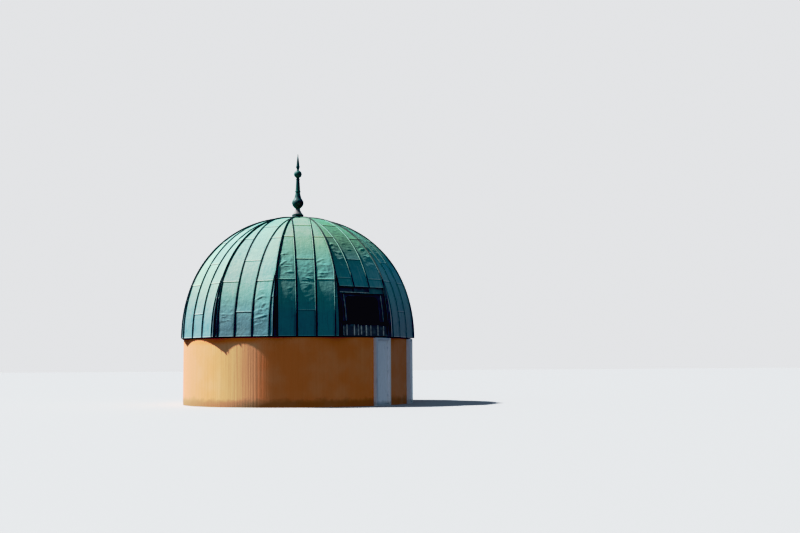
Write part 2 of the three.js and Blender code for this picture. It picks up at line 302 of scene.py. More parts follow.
class Draft:
    """Gathers the points, faces and point values of one piece."""

    def __init__(self) -> None:
        """Starts with nothing."""
        self.points: list[Array] = []
        self.faces: list[tuple[int, ...]] = []
        self.values: dict[str, list[Array]] = {}
        self.count = 0

    def add_points(self, points: Array, values: Values | None = None) -> Array:
        """Adds points.

        Args:
            points: Any array with x, y and z in its last axis.
            values: Named values, spread over the points.

        Returns:
            The points' indices, shaped as the points are.
        """
        shape = points.shape[:-1]
        total = points.size // 3
        given = values or {}
        for name in given | self.values:
            stored = self.values.setdefault(name, [np.zeros(self.count)])
            stored.append(np.broadcast_to(given.get(name, 0.0), shape).astype(float).ravel())
        self.points.append(points.reshape(-1, 3))
        indices = np.arange(self.count, self.count + total).reshape(shape)
        self.count += total
        return indices

    def add_quads(self, grid: Array) -> None:
        """Adds the faces between the rows and columns of a grid of indices."""
        corners = (grid[:-1, :-1], grid[:-1, 1:], grid[1:, 1:], grid[1:, :-1])
        self.faces.extend(map(tuple, np.stack(corners, axis=-1).reshape(-1, 4).tolist()))

    def add_sheet(self, front: Array, back: Array, values: Values) -> None:
        """Adds a closed sheet with a fine front and a back of one column.

        Args:
            front: Rows and columns of front points, from the foot up and from left to right.
            back: As many rows of two points, left and right.
            values: Named values of the front points. The back takes those of its edges.
        """
        ahead = self.add_points(front, values)
        edges = {name: np.broadcast_to(value, ahead.shape)[:, [0, -1]] for name, value in values.items()}
        behind = self.add_points(back, edges)
        self.add_quads(ahead)
        self.add_quads(behind[:, ::-1])
        self.add_quads(np.stack([behind[:, 0], ahead[:, 0]], axis=1))
        self.add_quads(np.stack([ahead[:, -1], behind[:, 1]], axis=1))
        for ring in ((ahead[0, ::-1], behind[0]), (ahead[-1], behind[-1, ::-1])):
            self.faces.append(tuple(np.concatenate(ring).tolist()))

    def add_bar(self, sections: Array, values: Values | None = None) -> None:
        """Adds a closed bar from outlines along its length.

        Args:
            sections: One outline to a row, each with as many points.
            values: Named values of the points.
        """
        indices = self.add_points(sections, values)
        self.add_quads(np.pad(indices, ((0, 0), (0, 1)), mode="wrap"))
        self.faces.append(tuple(indices[0, ::-1].tolist()))
        self.faces.append(tuple(indices[-1].tolist()))

    def add_ring(self, sections: Array) -> None:
        """Adds a bar that closes on itself, from outlines round its length."""
        self.add_quads(np.pad(self.add_points(sections), (0, 1), mode="wrap"))

    def add_turned(self, profile: Array, sides: int, centre: Pair = (0.0, 0.0)) -> None:
        """Adds a turned body about an upright axis.

        Args:
            profile: Radius and height pairs from the bottom up, both ends off the axis.
            sides: Faces round the body.
            centre: Place of the axis.
        """
        angles = np.linspace(0.0, 2.0 * math.pi, sides, endpoint=False)
        x = centre[0] + profile[:, :1] * np.cos(angles)
        y = centre[1] + profile[:, :1] * np.sin(angles)
        self.add_bar(np.stack(np.broadcast_arrays(x, y, profile[:, 1:]), axis=-1))

    def add_board(
        self, low: Sequence[float], high: Sequence[float], round_edge: float, matrix: Matrix | None = None
    ) -> None:
        """Adds a board with eased edges.

        Args:
            low: Lowest corner.
            high: Highest corner.
            round_edge: Width of the eased edges.
            matrix: Moves the board after it is made.
        """
        board = bmesh.new()
        size = [top - bottom for bottom, top in zip(low, high)]
        middle = [(top + bottom) / 2 for bottom, top in zip(low, high)]
        stretch = Matrix.Translation(middle) @ Matrix.Diagonal([*size, 1.0])
        bmesh.ops.create_cube(board, size=1.0, matrix=stretch)
        bmesh.ops.bevel(
            board, geom=board.edges[:], offset=round_edge, segments=2, profile=0.6, affect="EDGES",
        )
        if matrix is not None:
            board.transform(matrix)
        board.verts.index_update()
        start = self.count
        self.add_points(np.array([vert.co[:] for vert in board.verts]))
        self.faces.extend(tuple(start + vert.index for vert in face.verts) for face in board.faces)
        board.free()

    def finish(
        self, name: str, material: Material, replaced: Iterable[str] = (),
        slot: Slot = Slot.DARK_COPPER, body: Body = Body.DOME, sharp: float = 35.0,
    ) -> None:
        """Makes the piece and sets it on its body.

        Args:
            name: The piece's name.
            material: Its material.
            replaced: Nodes that it stands for.
            slot: The record's slot for it; not used.
            body: The body that it rides on.
            sharp: Edges that bend more than this, in degrees, stay sharp.
        """
        mesh = bpy.data.meshes.new(name)
        mesh.from_pydata(np.concatenate(self.points).tolist(), [], self.faces)
        for key, stored in self.values.items():
            attribute = mesh.attributes.new(key, "FLOAT", "POINT")
            attribute.data.foreach_set("value", np.concatenate(stored).astype(np.float32))
        outward = bmesh.new()
        outward.from_mesh(mesh)
        bmesh.ops.recalc_face_normals(outward, faces=outward.faces[:])
        outward.to_mesh(mesh)
        outward.free()
        mesh.shade_smooth()
        mesh.set_sharp_from_angle(angle=math.radians(sharp))
        mesh.materials.append(material)
        piece = add_object(name, mesh)
        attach(piece, body.value)
        nodes = list(replaced)
        if nodes:
            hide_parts(*nodes)
        log.info("%s: %d faces", name, len(mesh.polygons))


# Finishes


class Wiring:
    """Adds and joins the nodes of one shader tree."""

    def __init__(self, tree: NodeTree) -> None:
        """Keeps the tree to work in."""
        self.tree = tree

    def node(self, kind: str, inputs: dict[str | int, Source] | None = None, **settings: object) -> Node:
        """Adds a node.

        Args:
            kind: Its type.
            inputs: What its inputs take, by name or number.
            settings: Its settings.

        Returns:
            The node.
        """
        added = self.tree.nodes.new(kind)
        for name, setting in settings.items():
            setattr(added, name, setting)
        for key, source in (inputs or {}).items():
            self.feed(added.inputs[key], source)
        return added

    def feed(self, target: Socket, source: Source) -> None:
        """Joins a socket to its source, or sets its value.

        Args:
            target: The input.
            source: An output, a number or a colour of three parts.
        """
        if isinstance(source, Socket):
            self.tree.links.new(source, target)
        elif target.type == "RGBA":
            target.default_value = (*source, 1.0)
        else:
            target.default_value = source

    def maths(self, operation: str, first: Source, second: Source = 0.0) -> Socket:
        """One sum on one or two values."""
        return self.node("ShaderNodeMath", {0: first, 1: second}, operation=operation).outputs[0]

    def times(self, first: Source, second: Source) -> Socket:
        """One value times another."""
        return self.maths("MULTIPLY", first, second)

    def ease(
        self, value: Source, low: Source, high: Source, floor: float = 0.0, top: float = 1.0
    ) -> Socket:
        """Eases a value from a floor at low to a top at high."""
        given = {"Value": value, "From Min": low, "From Max": high, "To Min": floor, "To Max": top}
        return self.node("ShaderNodeMapRange", given, interpolation_type="SMOOTHSTEP").outputs["Result"]

    def mix(self, mask: Source, first: Source, second: Source, blend: str = "MIX") -> Socket:
        """Mixes two colours by a mask."""
        given = {"Factor": mask, 6: first, 7: second}
        return self.node("ShaderNodeMix", given, data_type="RGBA", blend_type=blend).outputs[2]

    def value(self, name: str) -> Socket:
        """A named point value of the mesh."""
        return self.node("ShaderNodeAttribute", attribute_name=name).outputs["Fac"]

    def place(self) -> Socket:
        """The place on the piece, in the part's frame at rest."""
        return self.node("ShaderNodeTexCoord").outputs["Object"]

    def parts(self, vector: Socket) -> list[Socket]:
        """The three parts of a vector."""
        return list(self.node("ShaderNodeSeparateXYZ", {0: vector}).outputs)

    def vector(self, *parts: Source) -> Socket:
        """A vector from three parts."""
        return self.node("ShaderNodeCombineXYZ", dict(enumerate(parts))).outputs[0]

    def stretch(self, vector: Socket, stretch: Socket) -> Socket:
        """A vector stretched along each axis."""
        return self.node("ShaderNodeVectorMath", {0: vector, 1: stretch}, operation="MULTIPLY").outputs[0]

    def noise(
        self, place: Socket, scale: Source = 1.0, detail: Source = 3.0, distortion: float = 0.0
    ) -> Socket:
        """Cloudy noise."""
        given = {"Vector": place, "Scale": scale, "Detail": detail, "Distortion": distortion}
        return self.node("ShaderNodeTexNoise", given).outputs["Fac"]

    def use(self, effect: NodeTree, place: Socket, **inputs: Source) -> Socket:
        """The mask that a shared effect gives at a place."""
        given = {"place": place, **inputs}
        return self.node("ShaderNodeGroup", given, node_tree=effect).outputs[0]


class Effects:
    """Shader effects that several finishes share, each built once and giving a mask."""

    def __init__(self) -> None:
        """Builds every effect."""
        self.mottle = self._mottle()
        self.streaks = self._streaks()
        self.stain_and_shade = self._stain()
        self.grain = self._grain()

    @staticmethod
    def _open(name: str, **inputs: float | None) -> tuple[Wiring, bpy.types.bpy_prop_collection, Socket]:
        """Starts an effect.

        Args:
            name: The effect's name.
            inputs: First value of each input, or None for a vector.

        Returns:
            The wiring, the sockets of the inputs, and the socket that takes the mask.
        """
        tree = bpy.data.node_groups.new(name, "ShaderNodeTree")
        for key, first in inputs.items():
            kind = "NodeSocketVector" if first is None else "NodeSocketFloat"
            socket = tree.interface.new_socket(name=key, in_out="INPUT", socket_type=kind)
            if first is not None:
                socket.default_value = first
        tree.interface.new_socket(name="mask", in_out="OUTPUT", socket_type="NodeSocketFloat")
        wiring = Wiring(tree)
        return wiring, wiring.node("NodeGroupInput").outputs, wiring.node("NodeGroupOutput").inputs[0]

    def _mottle(self) -> NodeTree:
        """Cloudy patches.

        Returns:
            The effect.
        """
        wiring, given, mask = self._open("mottle", place=None, scale=4.0, detail=4.0, low=0.35, high=0.65)
        noise = wiring.noise(given["place"], given["scale"], given["detail"])
        wiring.feed(mask, wiring.ease(noise, given["low"], given["high"]))
        return wiring.tree

    def _streaks(self) -> NodeTree:
        """Streaks that run one way.

        Returns:
            The effect.
        """
        wiring, given, mask = self._open("streaks", place=None, stretch=None, low=0.4, high=0.7)
        noise = wiring.noise(wiring.stretch(given["place"], given["stretch"]))
        wiring.feed(mask, wiring.ease(noise, given["low"], given["high"]))
        return wiring.tree

    def _stain(self) -> NodeTree:
        """A ragged stain that fades with the distance from an edge.

        Returns:
            The effect.
        """
        wiring, given, mask = self._open(
            "edge stain", distance=0.0, place=None, reach=0.05, ragged=0.02, scale=12.0,
        )
        sway = wiring.maths("SUBTRACT", wiring.noise(given["place"], given["scale"]), 0.5)
        reach = wiring.maths("ADD", given["reach"], wiring.times(sway, given["ragged"]))
        share = wiring.maths("DIVIDE", given["distance"], reach)
        wiring.feed(mask, wiring.ease(share, 0.45, 1.15, 1.0, 0.0))
        return wiring.tree

    def _grain(self) -> NodeTree:
        """Wood grain along one direction.

        Returns:
            The effect.
        """
        wiring, given, mask = self._open("wood grain", place=None, stretch=None)
        coarse = wiring.noise(wiring.stretch(given["place"], given["stretch"]), detail=6.0, distortion=0.8)
        wave = wiring.maths("SINE", wiring.times(coarse, 40.0))
        wiring.feed(mask, wiring.ease(wave, -1.0, 1.0))
        return wiring.tree


@dataclass(frozen=True)
class Look:
    """What a finish feeds to its shader.

    Attributes:
        colour: The base colour.
        rough: The roughness.
        relief: Height of the fine relief, from 0 to 1.
        depth: The relief's depth in metres.
    """

    colour: Socket
    rough: Socket
    relief: Socket
    depth: float


@dataclass(frozen=True)
class Finish:
    """What every finish has: its name and how it takes the light.

    Attributes:
        name: The material's name.
        specular: Strength of the surface gloss.
        coat: Strength of a clear coat, which is fairly sharp.
    """

    name: str
    specular: float = 0.3
    coat: float = 0.0

    def look(self, wiring: Wiring, effects: Effects) -> Look:
        """Wires the finish, which each kind does in its own way."""
        raise NotImplementedError

    def material(self, effects: Effects) -> Material:
        """Makes the material.

        Args:
            effects: The shared effects.

        Returns:
            The material.
        """
        material = bpy.data.materials.new(self.name)
        material.use_nodes = True
        wiring = Wiring(material.node_tree)
        inputs = find_node(material.node_tree, "BSDF_PRINCIPLED").inputs
        inputs["Specular IOR Level"].default_value = self.specular
        if self.coat:
            inputs["Coat Weight"].default_value = self.coat
            inputs["Coat Roughness"].default_value = 0.2
        look = self.look(wiring, effects)
        given = {"Strength": 1.0, "Distance": look.depth, "Height": look.relief}
        bump = wiring.node("ShaderNodeBump", given)
        wiring.feed(inputs["Base Color"], look.colour)
        wiring.feed(inputs["Roughness"], look.rough)
        wiring.feed(inputs["Normal"], bump.outputs["Normal"])
        return material


def find_node(tree: NodeTree, kind: str) -> Node:
    """The first node of a type in a tree."""
    return next(node for node in tree.nodes if node.type == kind)


@dataclass(frozen=True)
class PatinaSheet(Finish):
    """Weathered green copper sheet, with dark copper and painted shade beside its seams, painted shade
    under its laps and painted highlights on its folded edges.

    The first three colour fields each hold the colours low down, halfway up and near the apex.

    Attributes:
        left: Colours on the left, towards the sun.
        front: Colours at the front.
        right: Colours on the right.
        strip: Colour of the narrow strips beside the hips, low down: their dark copper together with
            painted shade.
        stain_and_shade: Colour beside the seams: copper that runs dark there, together with painted shade
            for the seams' shadows.
    """

    left: Colours = ((0.22, 0.36, 0.375), (0.27, 0.42, 0.345), (0.225, 0.4, 0.335))
    front: Colours = ((0.165, 0.375, 0.395), (0.185, 0.4, 0.355), (0.235, 0.345, 0.255))
    right: Colours = ((0.275, 0.4, 0.425), (0.235, 0.47, 0.475), (0.135, 0.265, 0.18))
    strip: Colour = (0.06, 0.085, 0.1)
    stain_and_shade: Colour = (0.018, 0.03, 0.04)

    def weather(self, wiring: Wiring) -> Socket:
        """Mixes the nine colours by height and side, with painted skylight on the far right.

        Args:
            wiring: The material's wiring.

        Returns:
            The colour.
        """
        x, y, z = wiring.parts(wiring.place())
        squares = [wiring.maths("POWER", part, 2.0) for part in (x, y)]
        side = wiring.maths("DIVIDE", x, wiring.maths("SQRT", wiring.maths("ADD", *squares)))
        halfway = wiring.ease(z, 2.5, 3.9)
        top = wiring.ease(z, 4.1, 5.4)
        left, front, right = (
            wiring.mix(top, wiring.mix(halfway, low, middle), high)
            for low, middle, high in (self.left, self.front, self.right)
        )
        colour = wiring.mix(wiring.ease(side, -0.5, 0.05), left, front)
        colour = wiring.mix(wiring.ease(side, 0.15, 0.58), colour, right)
        # Painted skylight: the gores on the far right are made paler, for the sky light they catch in the
        # shade.
        painted_skylight = wiring.mix(wiring.ease(z, 3.9, 4.9), (1.32, 1.12, 1.15), (1.12, 1.36, 1.5))
        colour = wiring.mix(wiring.ease(side, 0.62, 0.88), colour, painted_skylight, "MULTIPLY")
        return wiring.mix(wiring.ease(z, 5.65, 6.1), colour, (0.8, 0.91, 0.89), "MULTIPLY")

    def look(self, wiring: Wiring, effects: Effects) -> Look:
        """Wires the finish.

        Args:
            wiring: The material's wiring.
            effects: The shared effects.

        Returns:
            Its colour, roughness and relief.
        """
        z = wiring.parts(wiring.place())[2]
        tone = wiring.value("tone")
        sheet = wiring.vector(wiring.value("across"), wiring.value("rise"), wiring.times(tone, 37.0))
        colour = self.weather(wiring)

        def mottle(scale: float, detail: float, low: float, high: float) -> Socket:
            """Cloudy patches on the sheet."""
            return wiring.use(effects.mottle, sheet, scale=scale, detail=detail, low=low, high=high)

        def tint(mask: Source, share: float, factor: Source) -> None:
            """Multiplies the colour by a factor where a mask is, up to a share."""
            nonlocal colour
            colour = wiring.mix(wiring.times(mask, share), colour, factor, "MULTIPLY")

        # Dark strips beside the hips: their dark copper with painted shade for the hip seams' shadows,
        # fading higher up; the strips in pale_strips keep little of it.
        patchy = wiring.ease(mottle(3.5, 3.0, 0.2, 0.7), 0.0, 1.0, 0.65, 0.93)
        fading = wiring.ease(z, 2.9, 4.3, 1.0, 0.25)
        strip = wiring.times(wiring.times(wiring.value("strip"), patchy), fading)
        colour = wiring.mix(strip, colour, self.strip)
        tint(mottle(2.3, 3.0, 0.3, 0.72), 0.5, (1.22, 1.12, 1.05))
        tint(mottle(9.0, 5.0, 0.5, 0.75), 0.4, (0.55, 0.72, 0.74))
        runs = wiring.use(effects.streaks, sheet, stretch=(34.0, 1.6, 1.0), low=0.48, high=0.74)
        tint(wiring.times(runs, wiring.ease(z, 2.2, 6.0, 0.6, 0.25)), 1.0, (0.5, 0.68, 0.72))
        pale_runs = wiring.use(effects.streaks, sheet, stretch=(21.0, 0.9, 3.0), low=0.55, high=0.8)
        tint(pale_runs, 0.5, (1.35, 1.2, 1.15))
        shade = wiring.ease(tone, 0.0, 1.0, 0.92, 1.06)
        tint(1.0, 1.0, wiring.vector(shade, *(wiring.maths("POWER", shade, power) for power in (0.8, 0.5))))
        spots = wiring.node("ShaderNodeTexVoronoi", {"Vector": sheet, "Scale": 5.5}, feature="F1")
        tint(wiring.ease(spots.outputs["Distance"], 0.02, 0.055, 1.0, 0.0), 0.5, (0.3, 0.45, 0.5))

        rim = wiring.value("rim")
        # Painted highlight: the upturned edges beside the seams and the hems at the sheets' feet are made
        # paler, as edges catching the light.
        fold = wiring.ease(rim, 0.0, 0.014, 0.55, 0.0)
        hem = wiring.ease(wiring.value("foot"), 0.015, 0.042, 0.95, 0.0)
        tint(wiring.maths("MAXIMUM", fold, hem), 1.0, (1.75, 1.35, 1.3))
        # Beside the seams: copper that runs dark along them, and painted shade for the seams' shadows,
        # stronger on the left edge of each sheet, just right of a seam.
        seam_stain_and_shade = wiring.use(
            effects.stain_and_shade, sheet, distance=wiring.maths("SUBTRACT", rim, 0.01),
            reach=wiring.ease(z, 2.2, 5.6, 0.048, 0.04), ragged=0.03, scale=9.0,
        )
        seam_stain_and_shade = wiring.times(seam_stain_and_shade, wiring.ease(rim, 0.006, 0.014))
        seam_stain_and_shade = wiring.times(seam_stain_and_shade, wiring.ease(wiring.value("rightward"), 0.0, 1.0, 1.0, 0.3))
        # Painted shade under the laps: the head of each sheet, tucked under the next one, is darkened.
        head = wiring.value("head")
        lap_shade = wiring.use(effects.stain_and_shade, sheet, distance=head, reach=0.03, ragged=0.02, scale=14.0)
        dark = wiring.maths("MAXIMUM", seam_stain_and_shade, wiring.times(lap_shade, 0.35))
        colour = wiring.mix(wiring.times(dark, 0.93), colour, self.stain_and_shade)

        fine = mottle(26.0, 6.0, 0.2, 0.8)
        rough = wiring.maths("SUBTRACT", wiring.ease(fine, 0.0, 1.0, 0.62, 0.8), wiring.times(dark, 0.2))
        relief = wiring.maths("ADD", mottle(12.0, 2.0, 0.25, 0.75), wiring.times(fine, 0.25))
        return Look(colour, rough, relief, 0.0022)


@dataclass(frozen=True)
class DarkCopper(Finish):
    """Brown-black copper with patches of green, for the hatch and the finial.

    Attributes:
        brown: Colour of the dark copper.
        green: Colour of the patches.
        share: How much of it is green, from 0 to 1.
        scale: Patches to a metre.
    """

    brown: Colour = (0.022, 0.034, 0.036)
    green: Colour = (0.12, 0.24, 0.22)
    share: float = 0.4
    scale: float = 6.0

    def look(self, wiring: Wiring, effects: Effects) -> Look:
        """Wires the finish.

        Args:
            wiring: The material's wiring.
            effects: The shared effects.

        Returns:
            Its colour, roughness and relief.
        """
        place = wiring.place()
        patches = wiring.use(effects.mottle, place, scale=self.scale, detail=5.0,
                             low=0.62 - 0.4 * self.share, high=0.85 - 0.3 * self.share)
        runs = wiring.use(effects.streaks, place, stretch=(26.0, 26.0, 2.0), low=0.5, high=0.78)
        colour = wiring.mix(patches, self.brown, self.green)
        colour = wiring.mix(wiring.times(runs, 0.35), colour, self.brown)
        fine = wiring.use(effects.mottle, place, scale=40.0, detail=5.0, low=0.25, high=0.75)
        return Look(colour, wiring.ease(fine, 0.0, 1.0, 0.5, 0.72), fine, 0.0015)


@dataclass(frozen=True)
class SeamCopper(Finish):
    """Copper of the standing seams: patina on their sides, with painted shade on the sides that face right,
    and black-brown on their folded heads.

    Attributes:
        side: Colour of the sides.
        low_side: Colour of the sides near the eave.
        lee_shade: Colour of the sides that face right, away from the sun: painted shade.
        head: Colour of the folded heads.
        low_head: Colour of the heads near the eave.
    """

    side: Colour = (0.34, 0.52, 0.45)
    low_side: Colour = (0.32, 0.39, 0.4)
    lee_shade: Colour = (0.045, 0.06, 0.07)
    head: Colour = (0.035, 0.05, 0.055)
    low_head: Colour = (0.035, 0.05, 0.055)

    def look(self, wiring: Wiring, effects: Effects) -> Look:
        """Wires the finish.

        Args:
            wiring: The material's wiring.
            effects: The shared effects.

        Returns:
            Its colour, roughness and relief.
        """
        place = wiring.place()
        low = wiring.ease(wiring.parts(place)[2], 2.6, 4.6)
        colour = wiring.mix(low, self.low_side, self.side)
        # Painted shade: the sides that face right, away from the sun, take the dark colour.
        colour = wiring.mix(wiring.value("lee_shade"), colour, self.lee_shade)
        ragged = wiring.use(effects.mottle, place, scale=11.0, detail=4.0, low=0.3, high=0.7)
        level = wiring.maths("ADD", wiring.value("crown"), wiring.times(ragged, 0.12))
        head = wiring.mix(low, self.low_head, self.head)
        colour = wiring.mix(wiring.ease(level, 0.9, 1.02), colour, head)
        fine = wiring.use(effects.mottle, place, scale=40.0, detail=5.0, low=0.25, high=0.75)
        return Look(colour, wiring.ease(fine, 0.0, 1.0, 0.55, 0.75), fine, 0.0012)


@dataclass(frozen=True)
class CombedRender(Finish):
    """Ochre-orange lime render, combed upright, streaked by rain and dirty at its foot, with painted light
    and shade across its sides.

    Attributes:
        ochre: Main colour.
        pale: Colour of the washed patches.
        sunward_darker: Colour on the left, where the sun falls full on it: painted shade that tones it
            down.
        bounce_lit_pale: Colour between there and the front, where it is palest: painted light thrown back
            onto the wall.
        eave_shadow_tint: Factor in a band under the eave on the sunny side: painted shade, redder where the
            eave's shadow falls.
        shaded: Factor at the front and on the right, where the wall is in shade: painted shade, warmer and
            deeper.
        between_doors: Factor between the doors: painted shade, bluer.
        brown: Colour of the streaks.
        dirt: Colour at the foot.
    """

    ochre: Colour = (0.96, 0.46, 0.24)
    pale: Colour = (0.98, 0.53, 0.3)
    sunward_darker: Colour = (0.75, 0.385, 0.228)
    bounce_lit_pale: Colour = (0.995, 0.565, 0.305)
    eave_shadow_tint: Colour = (1.05, 0.66, 0.46)
    shaded: Colour = (1.12, 0.89, 0.74)
    between_doors: Colour = (0.83, 0.98, 1.22)
    brown: Colour = (0.78, 0.34, 0.15)
    dirt: Colour = (0.3, 0.2, 0.13)

    def look(self, wiring: Wiring, effects: Effects) -> Look:
        """Wires the finish.

        Args:
            wiring: The material's wiring.
            effects: The shared effects.

        Returns:
            Its colour, roughness and relief.
        """
        place = wiring.place()
        x, _, z = wiring.parts(place)
        washed = wiring.use(effects.mottle, place, scale=1.4, detail=4.0, low=0.35, high=0.7)
        colour = wiring.mix(washed, self.ochre, self.pale)
        # Painted light and shade across the wall: darker where the sun falls full, paler towards the front
        # as painted bounce light, redder in the eave's shadow, warmer in the shade at the front and right,
        # and bluer between the doors.
        colour = wiring.mix(wiring.ease(x, -3.7, -2.3, 1.0, 0.0), colour, self.sunward_darker)
        shaded = wiring.ease(x, -1.45, -0.95)
        sunny = wiring.maths("SUBTRACT", 1.0, shaded)
        colour = wiring.mix(wiring.times(wiring.ease(x, -2.9, -1.9), sunny), colour, self.bounce_lit_pale)
        eave_shadow_band = wiring.times(wiring.ease(z, 1.91, 2.1), wiring.ease(x, -3.2, -2.4, 0.35, 1.0))
        colour = wiring.mix(wiring.times(eave_shadow_band, sunny), colour, self.eave_shadow_tint, "MULTIPLY")
        colour = wiring.mix(shaded, colour, self.shaded, "MULTIPLY")
        colour = wiring.mix(wiring.ease(x, 2.5, 2.95), colour, self.between_doors, "MULTIPLY")
        combed = wiring.use(effects.streaks, place, stretch=(19.0, 19.0, 0.35), low=0.3, high=0.7)
        colour = wiring.mix(wiring.ease(combed, 0.0, 1.0, 0.12, 0.0), colour, self.brown)
        runs = wiring.use(effects.streaks, place, stretch=(7.0, 7.0, 0.3), low=0.56, high=0.76)
        colour = wiring.mix(wiring.times(runs, wiring.ease(z, 0.9, 2.17, 0.05, 0.25)), colour, self.brown)
        splash = wiring.use(effects.stain_and_shade, place, distance=z, reach=0.28, ragged=0.3, scale=5.0)
        colour = wiring.mix(wiring.times(splash, 0.5), colour, self.dirt)
        grit = wiring.use(effects.mottle, place, scale=90.0, detail=4.0, low=0.2, high=0.8)
        relief = wiring.maths("ADD", combed, wiring.times(grit, 0.3))
        return Look(colour, wiring.ease(grit, 0.0, 1.0, 0.86, 0.98), relief, 0.0025)


@dataclass(frozen=True)
class OilPaint(Finish):
    """White oil paint on boards, slightly blue, with grain showing through and grey wear.

    Attributes:
        white: Main colour.
        worn: Colour where the paint is thin.
        damp: Colour low down.
        turn: Turn of the door whose further jamb takes a painted highlight, or None.
        pale: Colour of that painted highlight.
    """

    white: Colour = (0.87, 0.91, 0.97)
    worn: Colour = (0.52, 0.53, 0.55)
    damp: Colour = (0.3, 0.33, 0.3)
    turn: float | None = None
    pale: Colour = (1.0, 1.0, 1.0)

    def base(self, wiring: Wiring, place: Socket) -> Source:
        """Mixes the main colour, with a painted highlight on the further jamb of a casing.

        Args:
            wiring: The material's wiring.
            place: Where a point lies.

        Returns:
            The colour or its socket.
        """
        if self.turn is None:
            return self.white
        x, y, _ = wiring.parts(place)
        angle = math.radians(self.turn)
        along = wiring.maths("ADD", wiring.times(x, math.cos(angle)), wiring.times(y, math.sin(angle)))
        return wiring.mix(wiring.ease(along, 0.27, 0.276), self.white, self.pale)

    def look(self, wiring: Wiring, effects: Effects) -> Look:
        """Wires the finish.

        Args:
            wiring: The material's wiring.
            effects: The shared effects.

        Returns:
            Its colour, roughness and relief.
        """
        place = wiring.place()
        z = wiring.parts(place)[2]
        grain = wiring.use(effects.grain, place, stretch=(9.0, 9.0, 0.6))
        thin = wiring.use(effects.mottle, place, scale=5.0, detail=5.0, low=0.52, high=0.78)
        wear = wiring.times(wiring.times(grain, thin), 0.45)
        colour = wiring.mix(wear, self.base(wiring, place), self.worn)
        runs = wiring.use(effects.streaks, place, stretch=(16.0, 16.0, 0.8), low=0.5, high=0.8)
        colour = wiring.mix(wiring.times(runs, 0.22), colour, self.worn)
        splash = wiring.use(effects.stain_and_shade, place, distance=z, reach=0.16, ragged=0.2, scale=9.0)
        colour = wiring.mix(wiring.times(splash, 0.5), colour, self.damp)
        return Look(colour, wiring.ease(wear, 0.0, 0.45, 0.32, 0.7), grain, 0.0008)


@dataclass(frozen=True)
class WeatheredTimber(Finish):
    """Dark weathered timber.

    Attributes:
        early: Colour of the soft wood.
        late: Colour of the hard wood.
        grey: Colour of the weathered patches.
        stretch: How the grain runs, in figures to a metre.
    """

    early: Colour = (0.12, 0.085, 0.055)
    late: Colour = (0.05, 0.034, 0.022)
    grey: Colour = (0.16, 0.15, 0.14)
    stretch: Colour = (6.0, 6.0, 24.0)

    def look(self, wiring: Wiring, effects: Effects) -> Look:
        """Wires the finish.

        Args:
            wiring: The material's wiring.
            effects: The shared effects.

        Returns:
            Its colour, roughness and relief.
        """
        place = wiring.place()
        grain = wiring.use(effects.grain, place, stretch=self.stretch)
        grey = wiring.use(effects.mottle, place, scale=3.0, detail=4.0, low=0.4, high=0.75)
        colour = wiring.mix(wiring.times(grey, 0.35), wiring.mix(grain, self.early, self.late), self.grey)
        return Look(colour, wiring.ease(grain, 0.0, 1.0, 0.72, 0.9), grain, 0.0015)


@dataclass(frozen=True)
class Concrete(Finish):
    """Trowelled floor, worn and dusty.

    Attributes:
        grey: Main colour.
        dark: Colour of the damp patches.
    """

    grey: Colour = (0.42, 0.4, 0.37)
    dark: Colour = (0.24, 0.22, 0.2)

    def look(self, wiring: Wiring, effects: Effects) -> Look:
        """Wires the finish.

        Args:
            wiring: The material's wiring.
            effects: The shared effects.

        Returns:
            Its colour, roughness and relief.
        """
        place = wiring.place()
        damp = wiring.use(effects.mottle, place, scale=0.9, detail=5.0, low=0.4, high=0.7)
        grit = wiring.use(effects.mottle, place, scale=60.0, detail=5.0, low=0.3, high=0.7)
        colour = wiring.mix(wiring.times(damp, 0.6), self.grey, self.dark)
        colour = wiring.mix(wiring.times(grit, 0.2), colour, self.dark)
        return Look(colour, wiring.ease(damp, 0.0, 1.0, 0.85, 0.6), grit, 0.002)


